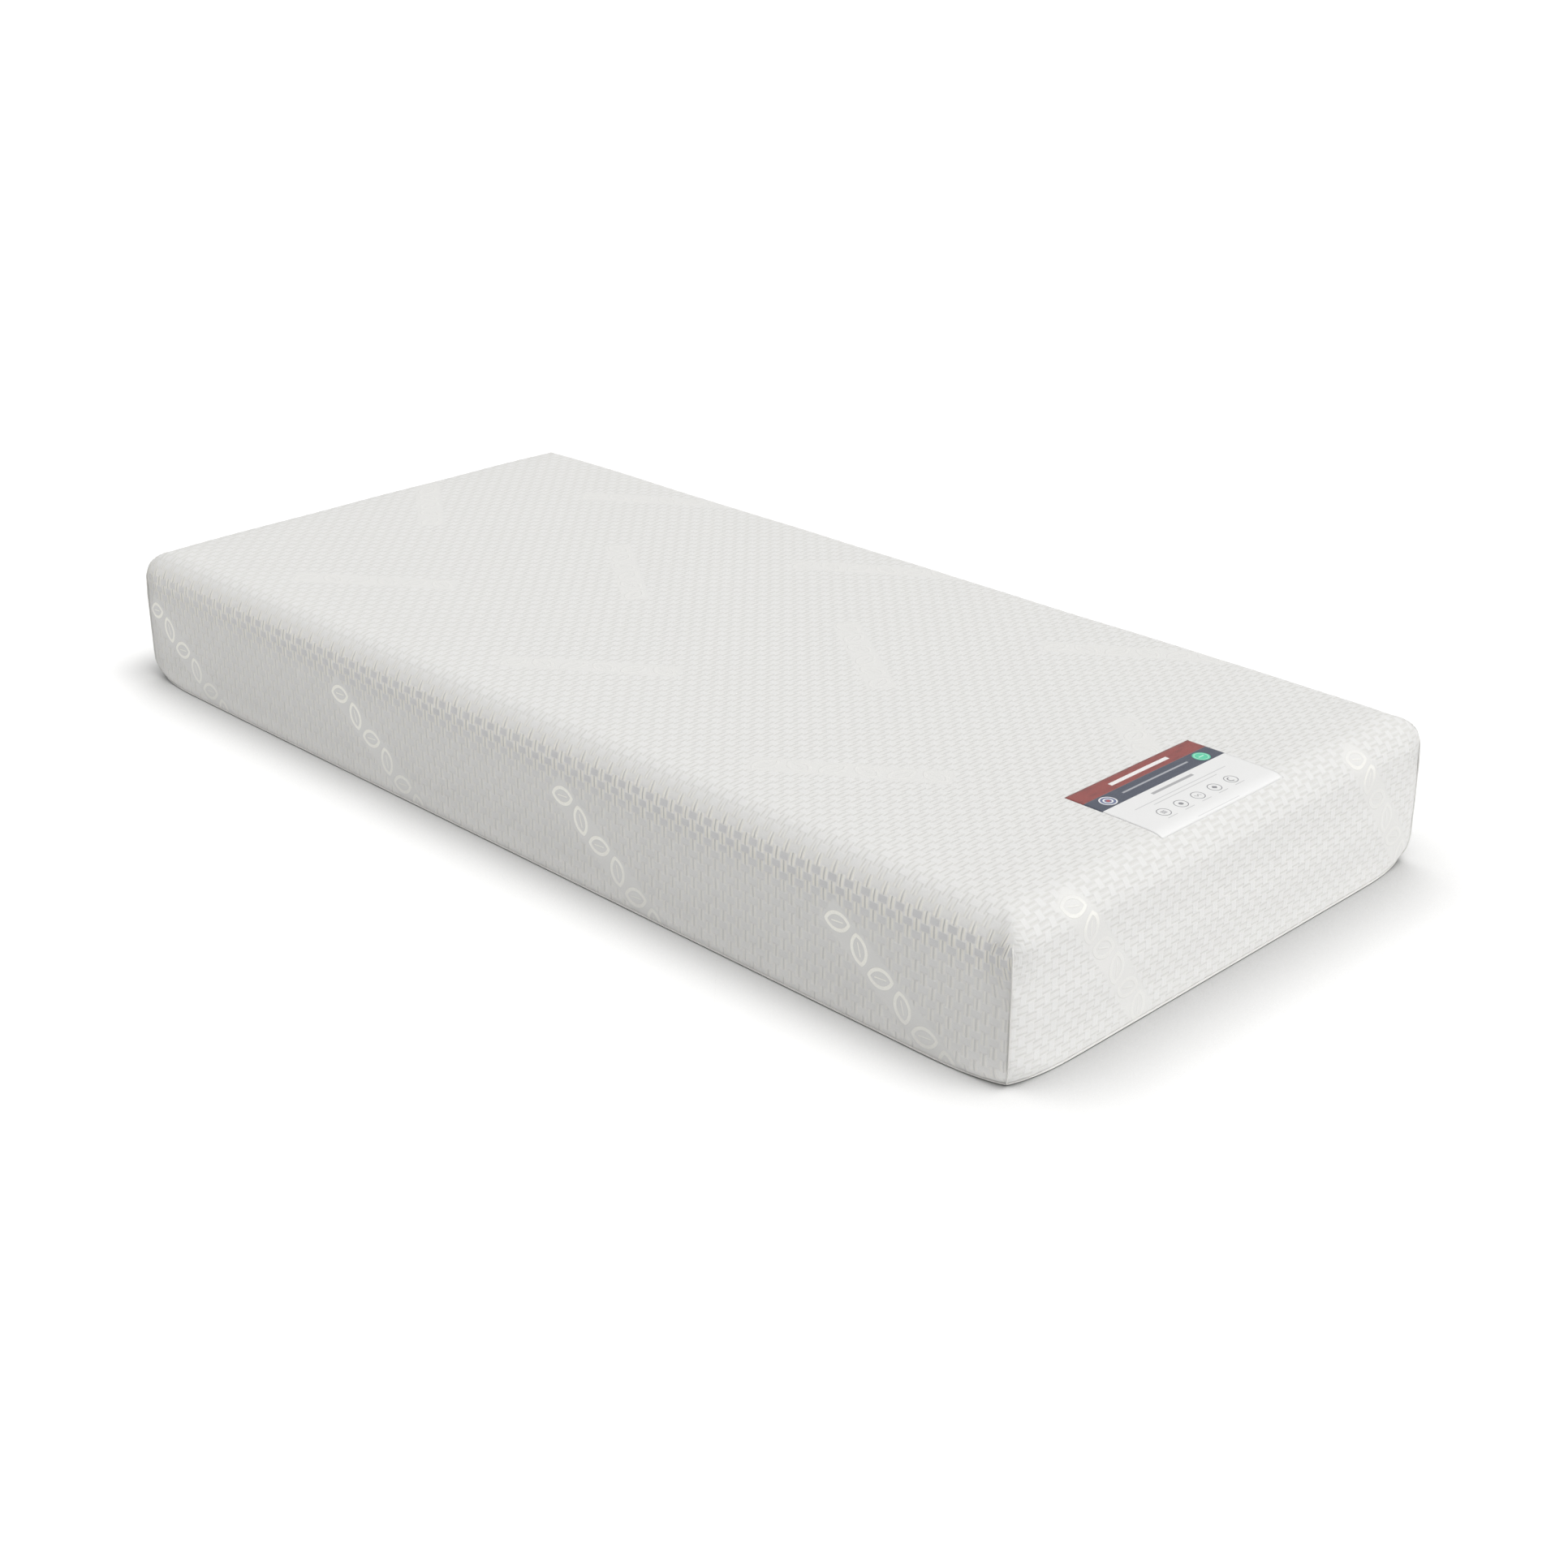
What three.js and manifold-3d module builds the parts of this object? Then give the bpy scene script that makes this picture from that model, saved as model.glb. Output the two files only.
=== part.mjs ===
// Single memory foam mattress in a removable zipped knit cover. Millimetres.
// +Z is up, X runs across the width, Y along the length with the foot end at -Y.
// The origin is the centre of the underside.
// The zip is on the +X long side, with its slider parked at the foot end.
import * as THREE from "three";
import { mergeVertices } from "three/addons/utils/BufferGeometryUtils.js";
import Module from "manifold-3d";

const wasm = await Module();
wasm.setup();

// Overall envelope of the covered mattress.
const WIDTH = 900;
const LENGTH = 1900;
const HEIGHT = 225;
const CORNER_RADIUS = 24; // vertical corners, seen from above
const TOP_EDGE_RADIUS = 45;
const BASE_EDGE_RADIUS = 12;
const SMALLEST_RADIUS = 1.5;
const ARC_SEGMENTS = 8;

// Layers, from the outside in. GAP separates pieces that touch on the real mattress.
const GAP = 0.3;
const KNIT_THICKNESS = 3;
const BASE_PANEL_THICKNESS = 3;
const LINER_THICKNESS = 1;
const MEMORY_FOAM_THICKNESS = 70;
const ZIP_SIDE_ROOM = 3; // the foam is cut this much narrower where the zip runs
const LINER_INSET = KNIT_THICKNESS + GAP;
const FOAM_INSET = LINER_INSET + LINER_THICKNESS + GAP;
const LINER_MOUTH = { width: 640, length: 60, fromHeadEnd: 90 }; // where the sock is pulled over the foam

// Seams.
const CORNER_SEAM = { width: 1.8, proud: 1.2, bottom: 16, top: 178 };
const BASE_BINDING = { inset: 1, width: 1.4, height: 2, bottom: 2, cornerRadius: 13.4 };

// Labels.
const PRODUCT_LABEL = { width: 264, length: 156, thickness: 0.4, centreX: -2, centreY: -846 };
const CARE_LABEL = { width: 45, height: 62, thickness: 0.5, centreX: -250, bottom: 8 };

// Zip, centred at height ZIP_HEIGHT on the +X side.
const ZIP_HEIGHT = 32;
const ZIP_WINDOW = { length: 1768, height: 28 }; // the opening in the border that the zip closes
const ZIP_SPLIT = 1.4; // between the two tapes and the two rows of teeth, for the slider's post
const TAPE = { width: 18.3, thickness: 0.8, length: 1767.4 };
const COIL = { width: 2.8, thickness: 2.4, length: 1732 };
const STOP = { length: 4, thickness: 3.5 };
const SLIDER = { length: 17, width: 10.8, plate: 1.4, flange: 1.5 };
const SLIDER_POST = { width: 0.8, length: 3, fromEnd: 1 }; // joins the slider's two plates
const CROWN = { length: 12, width: 2.4, wall: 1, leg: 2, opening: 2.6, innerChamfer: 0.6, outerChamfer: 1.8 };
const CASTING_OVERLAP = 0.2; // the slider's plates, flanges, post and crown run this far into each other
const TAB = { length: 32, width: 8.4, thickness: 1.4, pinRadius: 0.75, tailHoleRadius: 1.7 };
const TAB_SLOT = { width: 3.6, length: 7.2, pinSide: 0.4 };

// Places across the zip, measured outwards along +X.
const SIDE_X = WIDTH / 2;
const TAPE_OUTER_X = SIDE_X - KNIT_THICKNESS - GAP;
const TAPE_INNER_X = TAPE_OUTER_X - TAPE.thickness;
const COIL_INNER_X = TAPE_OUTER_X + GAP;
const COIL_OUTER_X = COIL_INNER_X + COIL.thickness;
const UPPER_PLATE_X = COIL_OUTER_X + GAP; // the slider's outer plate starts here
const UPPER_PLATE_TOP_X = UPPER_PLATE_X + SLIDER.plate;
const LOWER_PLATE_TOP_X = TAPE_INNER_X - GAP;
const TAB_AXIS_X = UPPER_PLATE_TOP_X + CROWN.opening / 2;
const SLIDER_REST_Y = -COIL.length / 2 + SLIDER.length / 2 + GAP; // closed, against the top stops

// ---------------------------------------------------------------- solids

function solid(geometry) {
  const bare = new THREE.BufferGeometry();
  const plain = geometry.index ? geometry.toNonIndexed() : geometry;
  bare.setAttribute("position", plain.getAttribute("position").clone());
  const merged = mergeVertices(bare, 1e-4);
  return new wasm.Manifold(
    new wasm.Mesh({
      numProp: 3,
      vertProperties: merged.attributes.position.array,
      triVerts: new Uint32Array(merged.index.array),
    }),
  );
}

function geometryOf(manifold) {
  const mesh = manifold.getMesh();
  const geometry = new THREE.BufferGeometry();
  geometry.setAttribute("position", new THREE.BufferAttribute(mesh.vertProperties, 3));
  geometry.setIndex(new THREE.BufferAttribute(mesh.triVerts, 1));
  const faceted = geometry.toNonIndexed();
  faceted.computeVertexNormals();
  return faceted;
}

// A box between two opposite corners.
function boxBetween(low, high) {
  const size = high.map((value, axis) => value - low[axis]);
  const geometry = new THREE.BoxGeometry(...size);
  geometry.translate(...low.map((value, axis) => value + size[axis] / 2));
  return geometry;
}

// Extrudes a shape so that its own x, y and depth directions lie along the given axes.
function extrudeAlong(shape, depth, across, up, along, start) {
  const geometry = new THREE.ExtrudeGeometry(shape, {
    depth,
    bevelEnabled: false,
    curveSegments: ARC_SEGMENTS,
  });
  geometry.applyMatrix4(new THREE.Matrix4().makeBasis(across, up, along));
  geometry.translate(...along.clone().multiplyScalar(start).toArray());
  return geometry;
}

const X_AXIS = new THREE.Vector3(1, 0, 0);
const Y_AXIS = new THREE.Vector3(0, 1, 0);
const Z_AXIS = new THREE.Vector3(0, 0, 1);
const MINUS_Y = new THREE.Vector3(0, -1, 0);

// A rectangle with its own radius at the lower and at the upper corners.
function roundedRectangle(left, right, bottom, top, lowerRadius, upperRadius) {
  const low = Math.max(lowerRadius, SMALLEST_RADIUS);
  const high = Math.max(upperRadius, SMALLEST_RADIUS);
  const shape = new THREE.Shape();
  shape.moveTo(left + low, bottom);
  shape.lineTo(right - low, bottom);
  shape.absarc(right - low, bottom + low, low, -Math.PI / 2, 0, false);
  shape.absarc(right - high, top - high, high, 0, Math.PI / 2, false);
  shape.absarc(left + high, top - high, high, Math.PI / 2, Math.PI, false);
  shape.absarc(left + low, bottom + low, low, Math.PI, 1.5 * Math.PI, false);
  return shape;
}

// The mattress envelope drawn in by inset on every face, and by zipSide more on the +X face.
// Three extrusions meet in it: the section across the width, the section along the length and the plan.
function mattressBlock(inset, zipSide = 0) {
  const left = -WIDTH / 2 + inset;
  const right = WIDTH / 2 - inset - zipSide;
  const foot = -LENGTH / 2 + inset;
  const head = LENGTH / 2 - inset;
  const bottom = inset;
  const top = HEIGHT - inset;
  const base = BASE_EDGE_RADIUS - inset;
  const crest = TOP_EDGE_RADIUS - inset;
  const corner = CORNER_RADIUS - inset;
  const acrossWidth = roundedRectangle(left, right, bottom, top, base, crest);
  const alongLength = roundedRectangle(foot, head, bottom, top, base, crest);
  const plan = roundedRectangle(left, right, foot, head, corner, corner);
  const spare = 5; // each extrusion runs on past the other two by this much
  const throughLength = LENGTH + 2 * spare;
  const throughWidth = WIDTH + 2 * spare;
  const throughHeight = HEIGHT + 2 * spare;
  const runsFoot = extrudeAlong(acrossWidth, throughLength, X_AXIS, Z_AXIS, MINUS_Y, -throughLength / 2);
  const runsRight = extrudeAlong(alongLength, throughWidth, Y_AXIS, Z_AXIS, X_AXIS, -throughWidth / 2);
  const runsUp = extrudeAlong(plan, throughHeight, X_AXIS, Y_AXIS, Z_AXIS, -spare);
  return solid(runsFoot).intersect(solid(runsRight)).intersect(solid(runsUp));
}

// What a solid has between two heights.
function slice(block, low, high) {
  return block.intersect(solid(boxBetween([-WIDTH, -LENGTH, low], [WIDTH, LENGTH, high])));
}

// ---------------------------------------------------------------- materials

function material(color, roughness, metalness = 0) {
  return new THREE.MeshStandardMaterial({ color, roughness, metalness });
}

const knit = () => material(0xe6e5e2, 0.95);
const baseCloth = () => material(0xdcdad6, 0.95);
const thread = () => material(0xeeece6, 0.8);
const memoryFoam = () => material(0xf3ead2, 0.95);
const supportFoam = () => material(0xdfe8f2, 0.95);
const stockinette = () => material(0xf4f3ef, 0.95);
const tapeCloth = () => material(0xe9e8e4, 0.85);
const nylon = () => material(0xf1f0ec, 0.45);
const nickel = () => material(0xb9bbbd, 0.3, 1);
const printedSatin = () => material(0xf3f3f3, 0.6);

// ---------------------------------------------------------------- the group

const mattress = new THREE.Group();

function add(name, geometry, surface, parent = mattress) {
  const mesh = new THREE.Mesh(geometry, surface);
  mesh.name = name;
  parent.add(mesh);
  return mesh;
}

// Foam core: two slabs bonded face to face.
const foam = mattressBlock(FOAM_INSET, ZIP_SIDE_ROOM);
const foamSplit = HEIGHT - FOAM_INSET - MEMORY_FOAM_THICKNESS;
add("support_foam_core", geometryOf(slice(foam, 0, foamSplit - GAP)), supportFoam());
add("memory_foam_layer", geometryOf(slice(foam, foamSplit, HEIGHT)), memoryFoam());

// Inner sock round the foam, open at its mouth under the head end.
function makeLiner() {
  const outside = mattressBlock(LINER_INSET, ZIP_SIDE_ROOM);
  const inside = mattressBlock(LINER_INSET + LINER_THICKNESS, ZIP_SIDE_ROOM);
  const mouthHead = LENGTH / 2 - LINER_MOUTH.fromHeadEnd;
  const mouth = boxBetween(
    [-LINER_MOUTH.width / 2, mouthHead - LINER_MOUTH.length, 0],
    [LINER_MOUTH.width / 2, mouthHead, FOAM_INSET - GAP / 2],
  );
  return outside.subtract(inside).subtract(solid(mouth));
}
add("stockinette_liner", geometryOf(makeLiner()), stockinette());

// Knit cover: top and borders in one, open underneath, with the window for the zip in the +X border.
const envelope = mattressBlock(0);

function makeCover() {
  const shell = envelope.subtract(mattressBlock(KNIT_THICKNESS));
  const border = slice(shell, BASE_PANEL_THICKNESS + GAP, HEIGHT + 1);
  const halfLength = ZIP_WINDOW.length / 2;
  const halfHeight = ZIP_WINDOW.height / 2;
  const window = boxBetween(
    [SIDE_X - 2 * KNIT_THICKNESS, -halfLength, ZIP_HEIGHT - halfHeight],
    [SIDE_X + 1, halfLength, ZIP_HEIGHT + halfHeight],
  );
  return border.subtract(solid(window));
}
add("knit_cover", geometryOf(makeCover()), knit());
add("base_panel", geometryOf(slice(envelope, -1, BASE_PANEL_THICKNESS)), baseCloth());

// Vertical seam ridges, one on the middle of each rounded corner.
function addCornerSeam(name, sideX, sideY) {
  const reach = CORNER_RADIUS + GAP + CORNER_SEAM.proud / 2;
  const height = CORNER_SEAM.top - CORNER_SEAM.bottom;
  const seam = add(name, new THREE.BoxGeometry(CORNER_SEAM.proud, CORNER_SEAM.width, height), thread());
  const angle = Math.atan2(sideY, sideX);
  seam.position.set(
    sideX * (WIDTH / 2 - CORNER_RADIUS) + reach * Math.cos(angle),
    sideY * (LENGTH / 2 - CORNER_RADIUS) + reach * Math.sin(angle),
    CORNER_SEAM.bottom + height / 2,
  );
  seam.rotation.z = angle;
}
addCornerSeam("corner_seam_head_right", 1, 1);
addCornerSeam("corner_seam_head_left", -1, 1);
addCornerSeam("corner_seam_foot_left", -1, -1);
addCornerSeam("corner_seam_foot_right", 1, -1);

// Binding of the seam between border and base panel, a ring round the whole underside.
function makeBaseBinding() {
  const block = (inset, radius, height, bottom) => {
    const halfWidth = WIDTH / 2 - inset;
    const halfLength = LENGTH / 2 - inset;
    const plan = roundedRectangle(-halfWidth, halfWidth, -halfLength, halfLength, radius, radius);
    return solid(extrudeAlong(plan, height, X_AXIS, Y_AXIS, Z_AXIS, bottom));
  };
  const { inset, width, height, bottom, cornerRadius } = BASE_BINDING;
  const filled = block(inset, cornerRadius, height, bottom);
  return filled.subtract(block(inset + width, cornerRadius - width, 2 * HEIGHT, -HEIGHT));
}
add("base_seam_binding", geometryOf(makeBaseBinding()), thread());

// Product label: a thin sheet that follows the cover from the flat top onto the start of the foot edge.
function makeProductLabel() {
  const outside = mattressBlock(-GAP - PRODUCT_LABEL.thickness);
  const inside = mattressBlock(-GAP);
  const { width, length, centreX, centreY } = PRODUCT_LABEL;
  const outline = boxBetween(
    [centreX - width / 2, centreY - length / 2, HEIGHT / 2],
    [centreX + width / 2, centreY + length / 2, 2 * HEIGHT],
  );
  return outside.subtract(inside).intersect(solid(outline));
}
add("product_label", geometryOf(makeProductLabel()), printedSatin());

// Care label on the head end, its upper edge held by stitches, hanging flat against the border.
const careLabel = add(
  "care_label",
  new THREE.BoxGeometry(CARE_LABEL.width, CARE_LABEL.thickness, CARE_LABEL.height),
  printedSatin(),
);
careLabel.position.set(
  CARE_LABEL.centreX,
  LENGTH / 2 + GAP + CARE_LABEL.thickness / 2,
  CARE_LABEL.bottom + CARE_LABEL.height / 2,
);

// ---------------------------------------------------------------- the zip

// side is 1 for the half joined to the border above and -1 for the half joined to the strip below.
function addZipHalf(label, side) {
  const edge = ZIP_HEIGHT + (side * ZIP_SPLIT) / 2;
  const tape = new THREE.BoxGeometry(TAPE.thickness, TAPE.length, TAPE.width);
  tape.translate(TAPE_OUTER_X - TAPE.thickness / 2, 0, edge + (side * TAPE.width) / 2);
  add("zip_tape_" + label, tape, tapeCloth());
  const coil = new THREE.BoxGeometry(COIL.thickness, COIL.length, COIL.width);
  coil.translate(COIL_INNER_X + COIL.thickness / 2, 0, edge + (side * COIL.width) / 2);
  add("zip_coil_" + label, coil, nylon());
  const stop = new THREE.BoxGeometry(STOP.thickness, STOP.length, COIL.width);
  const stopY = -COIL.length / 2 - GAP - STOP.length / 2;
  stop.translate(COIL_INNER_X + STOP.thickness / 2, stopY, edge + (side * COIL.width) / 2);
  add("zip_top_stop_" + label, stop, nickel());
}
addZipHalf("upper", 1);
addZipHalf("lower", -1);

// The bottom stop bridges both rows where the zip opens no further.
const bottomStop = add(
  "zip_bottom_stop",
  new THREE.BoxGeometry(STOP.thickness, STOP.length, 2 * COIL.width + ZIP_SPLIT),
  nickel(),
);
bottomStop.position.set(
  COIL_INNER_X + STOP.thickness / 2,
  COIL.length / 2 + GAP + STOP.length / 2,
  ZIP_HEIGHT,
);

// Everything on the slider is built round its own centre and placed by this group.
const sliderGroup = new THREE.Group();
sliderGroup.position.set(0, SLIDER_REST_Y, ZIP_HEIGHT);
mattress.add(sliderGroup);

// The slider's two plates, its side flanges and its post, with the crown on top.
function makeSlider() {
  const halfLength = SLIDER.length / 2;
  const halfWidth = SLIDER.width / 2;
  const postStart = -halfLength + SLIDER_POST.fromEnd;
  const upperPlate = boxBetween(
    [UPPER_PLATE_X, -halfLength, -halfWidth],
    [UPPER_PLATE_TOP_X, halfLength, halfWidth],
  );
  const lowerPlate = boxBetween(
    [LOWER_PLATE_TOP_X - SLIDER.plate, -halfLength, -halfWidth],
    [LOWER_PLATE_TOP_X, halfLength, halfWidth],
  );
  const post = boxBetween(
    [LOWER_PLATE_TOP_X - CASTING_OVERLAP, postStart, -SLIDER_POST.width / 2],
    [UPPER_PLATE_X + CASTING_OVERLAP, postStart + SLIDER_POST.length, SLIDER_POST.width / 2],
  );
  const flanges = [-1, 1].map((side) => {
    const middle = side * (halfWidth - SLIDER.flange / 2);
    return boxBetween(
      [COIL_INNER_X + CASTING_OVERLAP, -halfLength, middle - SLIDER.flange / 2],
      [UPPER_PLATE_X + CASTING_OVERLAP, halfLength, middle + SLIDER.flange / 2],
    );
  });
  return [upperPlate, lowerPlate, post, ...flanges]
    .map(solid)
    .reduce((whole, piece) => whole.add(piece), makeCrown());
}

// The crown is an arch along the zip that holds the tab's pin.
function makeCrown() {
  const foot = UPPER_PLATE_TOP_X - CASTING_OVERLAP;
  const halfLength = CROWN.length / 2;
  const inside = halfLength - CROWN.leg;
  const ceiling = UPPER_PLATE_TOP_X + CROWN.opening;
  const roof = ceiling + CROWN.wall;
  const arch = new THREE.Shape();
  arch.moveTo(foot, -halfLength);
  arch.lineTo(foot, -inside);
  arch.lineTo(ceiling - CROWN.innerChamfer, -inside);
  arch.lineTo(ceiling, -inside + CROWN.innerChamfer);
  arch.lineTo(ceiling, inside - CROWN.innerChamfer);
  arch.lineTo(ceiling - CROWN.innerChamfer, inside);
  arch.lineTo(foot, inside);
  arch.lineTo(foot, halfLength);
  arch.lineTo(roof - CROWN.outerChamfer, halfLength);
  arch.lineTo(roof, halfLength - CROWN.outerChamfer);
  arch.lineTo(roof, -halfLength + CROWN.outerChamfer);
  arch.lineTo(roof - CROWN.outerChamfer, -halfLength);
  return solid(extrudeAlong(arch, CROWN.width, X_AXIS, Y_AXIS, Z_AXIS, -CROWN.width / 2));
}
add("zip_slider", geometryOf(makeSlider()), nickel(), sliderGroup);

// The tab turns about its pin, which runs across the zip under the crown. It lies along +Y at rest.
function makePullTab() {
  const halfWidth = TAB.width / 2;
  const slotStart = TAB.pinRadius + TAB_SLOT.pinSide;
  const slotHalf = TAB_SLOT.width / 2;
  const tailY = TAB.length - halfWidth;
  const outline = new THREE.Shape();
  outline.moveTo(-halfWidth, 0);
  outline.lineTo(halfWidth, 0);
  outline.absarc(0, tailY, halfWidth, 0, Math.PI, false);
  const thickness = TAB.thickness;
  const plate = extrudeAlong(outline, thickness, Z_AXIS, Y_AXIS, X_AXIS.clone().negate(), -thickness / 2);
  const slotEnd = slotStart + TAB_SLOT.length;
  const slot = boxBetween([-thickness, slotStart, -slotHalf], [thickness, slotEnd, slotHalf]);
  const tailHole = new THREE.CylinderGeometry(TAB.tailHoleRadius, TAB.tailHoleRadius, 2 * thickness, 24);
  tailHole.rotateZ(Math.PI / 2);
  tailHole.translate(0, tailY, 0);
  const pin = new THREE.CylinderGeometry(TAB.pinRadius, TAB.pinRadius, TAB.width, 16);
  pin.rotateX(Math.PI / 2);
  return solid(plate).subtract(solid(slot)).subtract(solid(tailHole)).add(solid(pin));
}
const pullTab = add("zip_pull_tab", geometryOf(makePullTab()), nickel(), sliderGroup);
pullTab.position.set(TAB_AXIS_X, 0, 0);

export default mattress;
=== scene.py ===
"""A single memory foam mattress in a zipped, patterned knit cover, in a plain studio.

Metres, +Z up, +X across the width towards the zip side, -Y the foot end. Mesh code works in millimetres
and converts once, in add_mesh. The main sizes and places come from the CAD frame.
"""

import functools
import math

import bpy
import numpy as np
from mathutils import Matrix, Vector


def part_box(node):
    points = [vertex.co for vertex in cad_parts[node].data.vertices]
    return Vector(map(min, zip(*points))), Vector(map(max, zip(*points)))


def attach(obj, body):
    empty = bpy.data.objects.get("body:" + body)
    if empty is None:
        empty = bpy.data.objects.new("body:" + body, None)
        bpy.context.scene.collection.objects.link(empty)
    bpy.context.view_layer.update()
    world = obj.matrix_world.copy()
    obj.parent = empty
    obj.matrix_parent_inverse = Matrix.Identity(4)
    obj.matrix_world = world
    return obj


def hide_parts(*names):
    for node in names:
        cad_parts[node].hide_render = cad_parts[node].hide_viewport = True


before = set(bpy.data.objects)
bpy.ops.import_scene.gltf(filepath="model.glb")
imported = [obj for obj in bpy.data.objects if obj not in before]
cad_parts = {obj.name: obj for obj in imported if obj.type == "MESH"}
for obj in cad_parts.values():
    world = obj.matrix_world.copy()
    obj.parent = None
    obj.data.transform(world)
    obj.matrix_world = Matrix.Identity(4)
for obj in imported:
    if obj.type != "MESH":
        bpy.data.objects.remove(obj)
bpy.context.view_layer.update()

# ------------------------------------------------------------------ sizes, in millimetres

MM = 0.001


def box_of(node):
    """The low and high corners of a CAD node's box."""
    return [np.array(corner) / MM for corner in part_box(node)]


HALF_WIDTH, HALF_LENGTH, TOP = box_of("knit_cover")[1]
TOP_EDGE_RADIUS = 45.0
CORNER_RADIUS = 20.0
BASE_EDGE_RADIUS = 4.5
BASE_CORNER_HEIGHT = 42.0  # the base edge is rounder where two borders meet
BASE_CORNER_DEPTH = 23.0
BASE_CORNER_REACH = 60.0
FLAT_X = HALF_WIDTH - TOP_EDGE_RADIUS  # the flat part of the top ends here
FLAT_Y = HALF_LENGTH - TOP_EDGE_RADIUS
EDGE_ARC = TOP_EDGE_RADIUS * math.pi / 2
EDGE_P = FLAT_X + EDGE_ARC  # the top sheet ends here, measured over its round edge
EDGE_Q = FLAT_Y + EDGE_ARC
BORDER_TOP = TOP - TOP_EDGE_RADIUS

CROWN = 0.7  # how far the top stands up in the middle, beside what the simulation gives
CROWN_REST = 4.0  # the crown ends this far inside the outline
BORDER_BOW = 1.6  # how far the long borders bulge halfway along
END_BOW = 1.28
BOW_HEIGHTS = (50.0, 120.0)  # the bulge starts at the first height and is full at the second
BOW_TOP_HEIGHT = 150.0  # above this height the bulge shrinks
BOW_TOP_LOSS = 0.45  # and it loses this share of itself at the top
UNEVENNESS = 0.7
WAVE_HEIGHTS = (60.0, 140.0)
CORNER_SLACK = (0.4, 70.0, 170.0)  # the foam gives: how far, how near a corner, fully above this height
CORNER_DROP = (4.0, 60.0, 200.0)  # the top sinks towards its corners, said in the same way
CORNER_SQUARENESS = 0.45  # the top edge turns more sharply at its corners

KNIT_PITCH = 28.0  # the knit pattern repeats at this pitch both ways, and again half a pitch off
KNIT_SHIFT = -7.0  # where the pattern starts across the mattress
KNIT_RELIEF = 0.18
SIDE_STARTS = 25.0  # the borders' pattern starts this far over the top edge
SIDE_FULL = 60.0  # and is full this far over it
CELL_ALONG = 7.0  # half sizes of the recessed cells
CELL_ACROSS = 4.6
RIB_OFFSET = 3.4  # a pair of ribs stands this far each side of the middle between two cells
RIB_HALF_WIDTH = 2.3
RIB_HALF_LENGTH = 9.5
GAP_OFFSET = 4.5  # on the top, a gap lies this far each side of a single rib

# The woven sprig motif: slanting bars in rows along the mattress, given in cloth coordinates.
MOTIF_PITCH = 527.5
MOTIF_SLANT = math.radians(35)
MOTIF_HALF_LENGTH = 136.0
MOTIF_HALF_WIDTH = 21.0
MOTIF_ROWS = (  # across, along, and which way the bars lean
    (-592.0, 294.0, -1),
    (-265.0, 14.0, 1),
    (53.0, 290.0, -1),
    (344.0, 14.0, 1),
    (650.0, 290.0, -1),
)
LEAF_PITCH = 45.5
LEAF_HALF_LENGTH = 22.5
LEAF_HALF_WIDTH = 14.5
LEAF_LEAN = math.radians(40)
LEAF_LINE = 5.2

CORNERS = ("foot_left", "foot_right", "head_right", "head_left")
SEAM_TOP = 195.0
SEAM_FOOT = 3.0
SEAM_PLACE = HALF_LENGTH - CORNER_RADIUS * (1 - math.sqrt(0.5))
SEAM_GROOVE = 1.2
SEAM_GROOVE_WIDTH = 1.6
RIDGE_RADIUS = 1.15
RIDGE_LIFT = 0.75
RIDGE_SINK = 2.4  # the ridge dives this deep into the cover at its upper end
RIDGE_SINK_RUN = 16.0  # and this far below it starts to
RIDGE_STITCHES_END = 14.0  # this far below the ridge's upper end its stitches stop
RIDGE_STITCH_LIFT = 2.15
STITCH = (1.35, 0.28, 0.28)  # half length, half width and half height
BINDING_HEIGHT = 2.6
BINDING_OUT = 0.9
BINDING_HALF_SIZES = (1.5, 1.2)
PANEL_MIDDLE = (300.0, 800.0)  # the underside's rings close in on a rectangle of these half sizes
PANEL_EDGE = ((0.003, 2.2), (0.013, 1.0), (0.04, 0.3))  # share of the way there, and height
PANEL_HEIGHT = 0.1

LABEL_LOW, LABEL_HIGH = box_of("product_label")
LABEL_TOP_LIFT = 0.95
LABEL_EDGE_DROP = 0.35
LABEL_BACK_LIFT = 0.05
TAG_GAP = 0.9  # the care label stands off the border by this, and more at its free lower end
TAG_LIFT = 2.6
TAG_WAVE = 0.5
TAG_HALF_THICKNESS = 0.2

ZIP_HEIGHT = 32.0
WINDOW_HALF_LENGTH = 884.0
WINDOW_HALF_HEIGHT = 14.0
WINDOW_STITCH_LIFT = 0.15
CORD_PROFILE = ((0.0, 0.0), (0.0, 0.15), (0.6, 0.75), (1.8, 0.8), (2.6, 0.55))  # across, out
TOOTH_PITCH = 2.0
TOOTH_SLANT = 0.22
TOOTH_HALF_WIDTH = 0.72
HALVES = (("upper", 1), ("lower", -1))
METAL_PARTS = ("top_stop_upper", "top_stop_lower", "bottom_stop", "slider", "pull_tab")
METAL_BEVEL = 0.3

INNER_CORNER_RADIUS = 30.0  # the foam and its liner keep clear of the corner seams
SLAB_EDGE_RADIUS = 3.0
LINER_INSET = 3.4
FOAM_INSET = 4.8
ZIP_SIDE_ROOM = 3.0

# ------------------------------------------------------------------ mesh helpers


def link_object(name, data):
    """A new object in the scene."""
    made = bpy.data.objects.new(name, data)
    bpy.context.scene.collection.objects.link(made)
    return made


def add_mesh(name, points, faces, material, stands_for=None, smooth=True):
    """A piece on the mattress from points in millimetres, in place of a CAD node if one is named."""
    mesh = bpy.data.meshes.new(name)
    mesh.from_pydata((np.asarray(points) * MM).tolist(), [], [list(face) for face in faces])
    mesh.polygons.foreach_set("use_smooth", [smooth] * len(mesh.polygons))
    mesh.materials.append(material)
    piece = link_object(name, mesh)
    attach(piece, "mattress")
    if stands_for:
        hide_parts(stands_for)
    return piece


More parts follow.
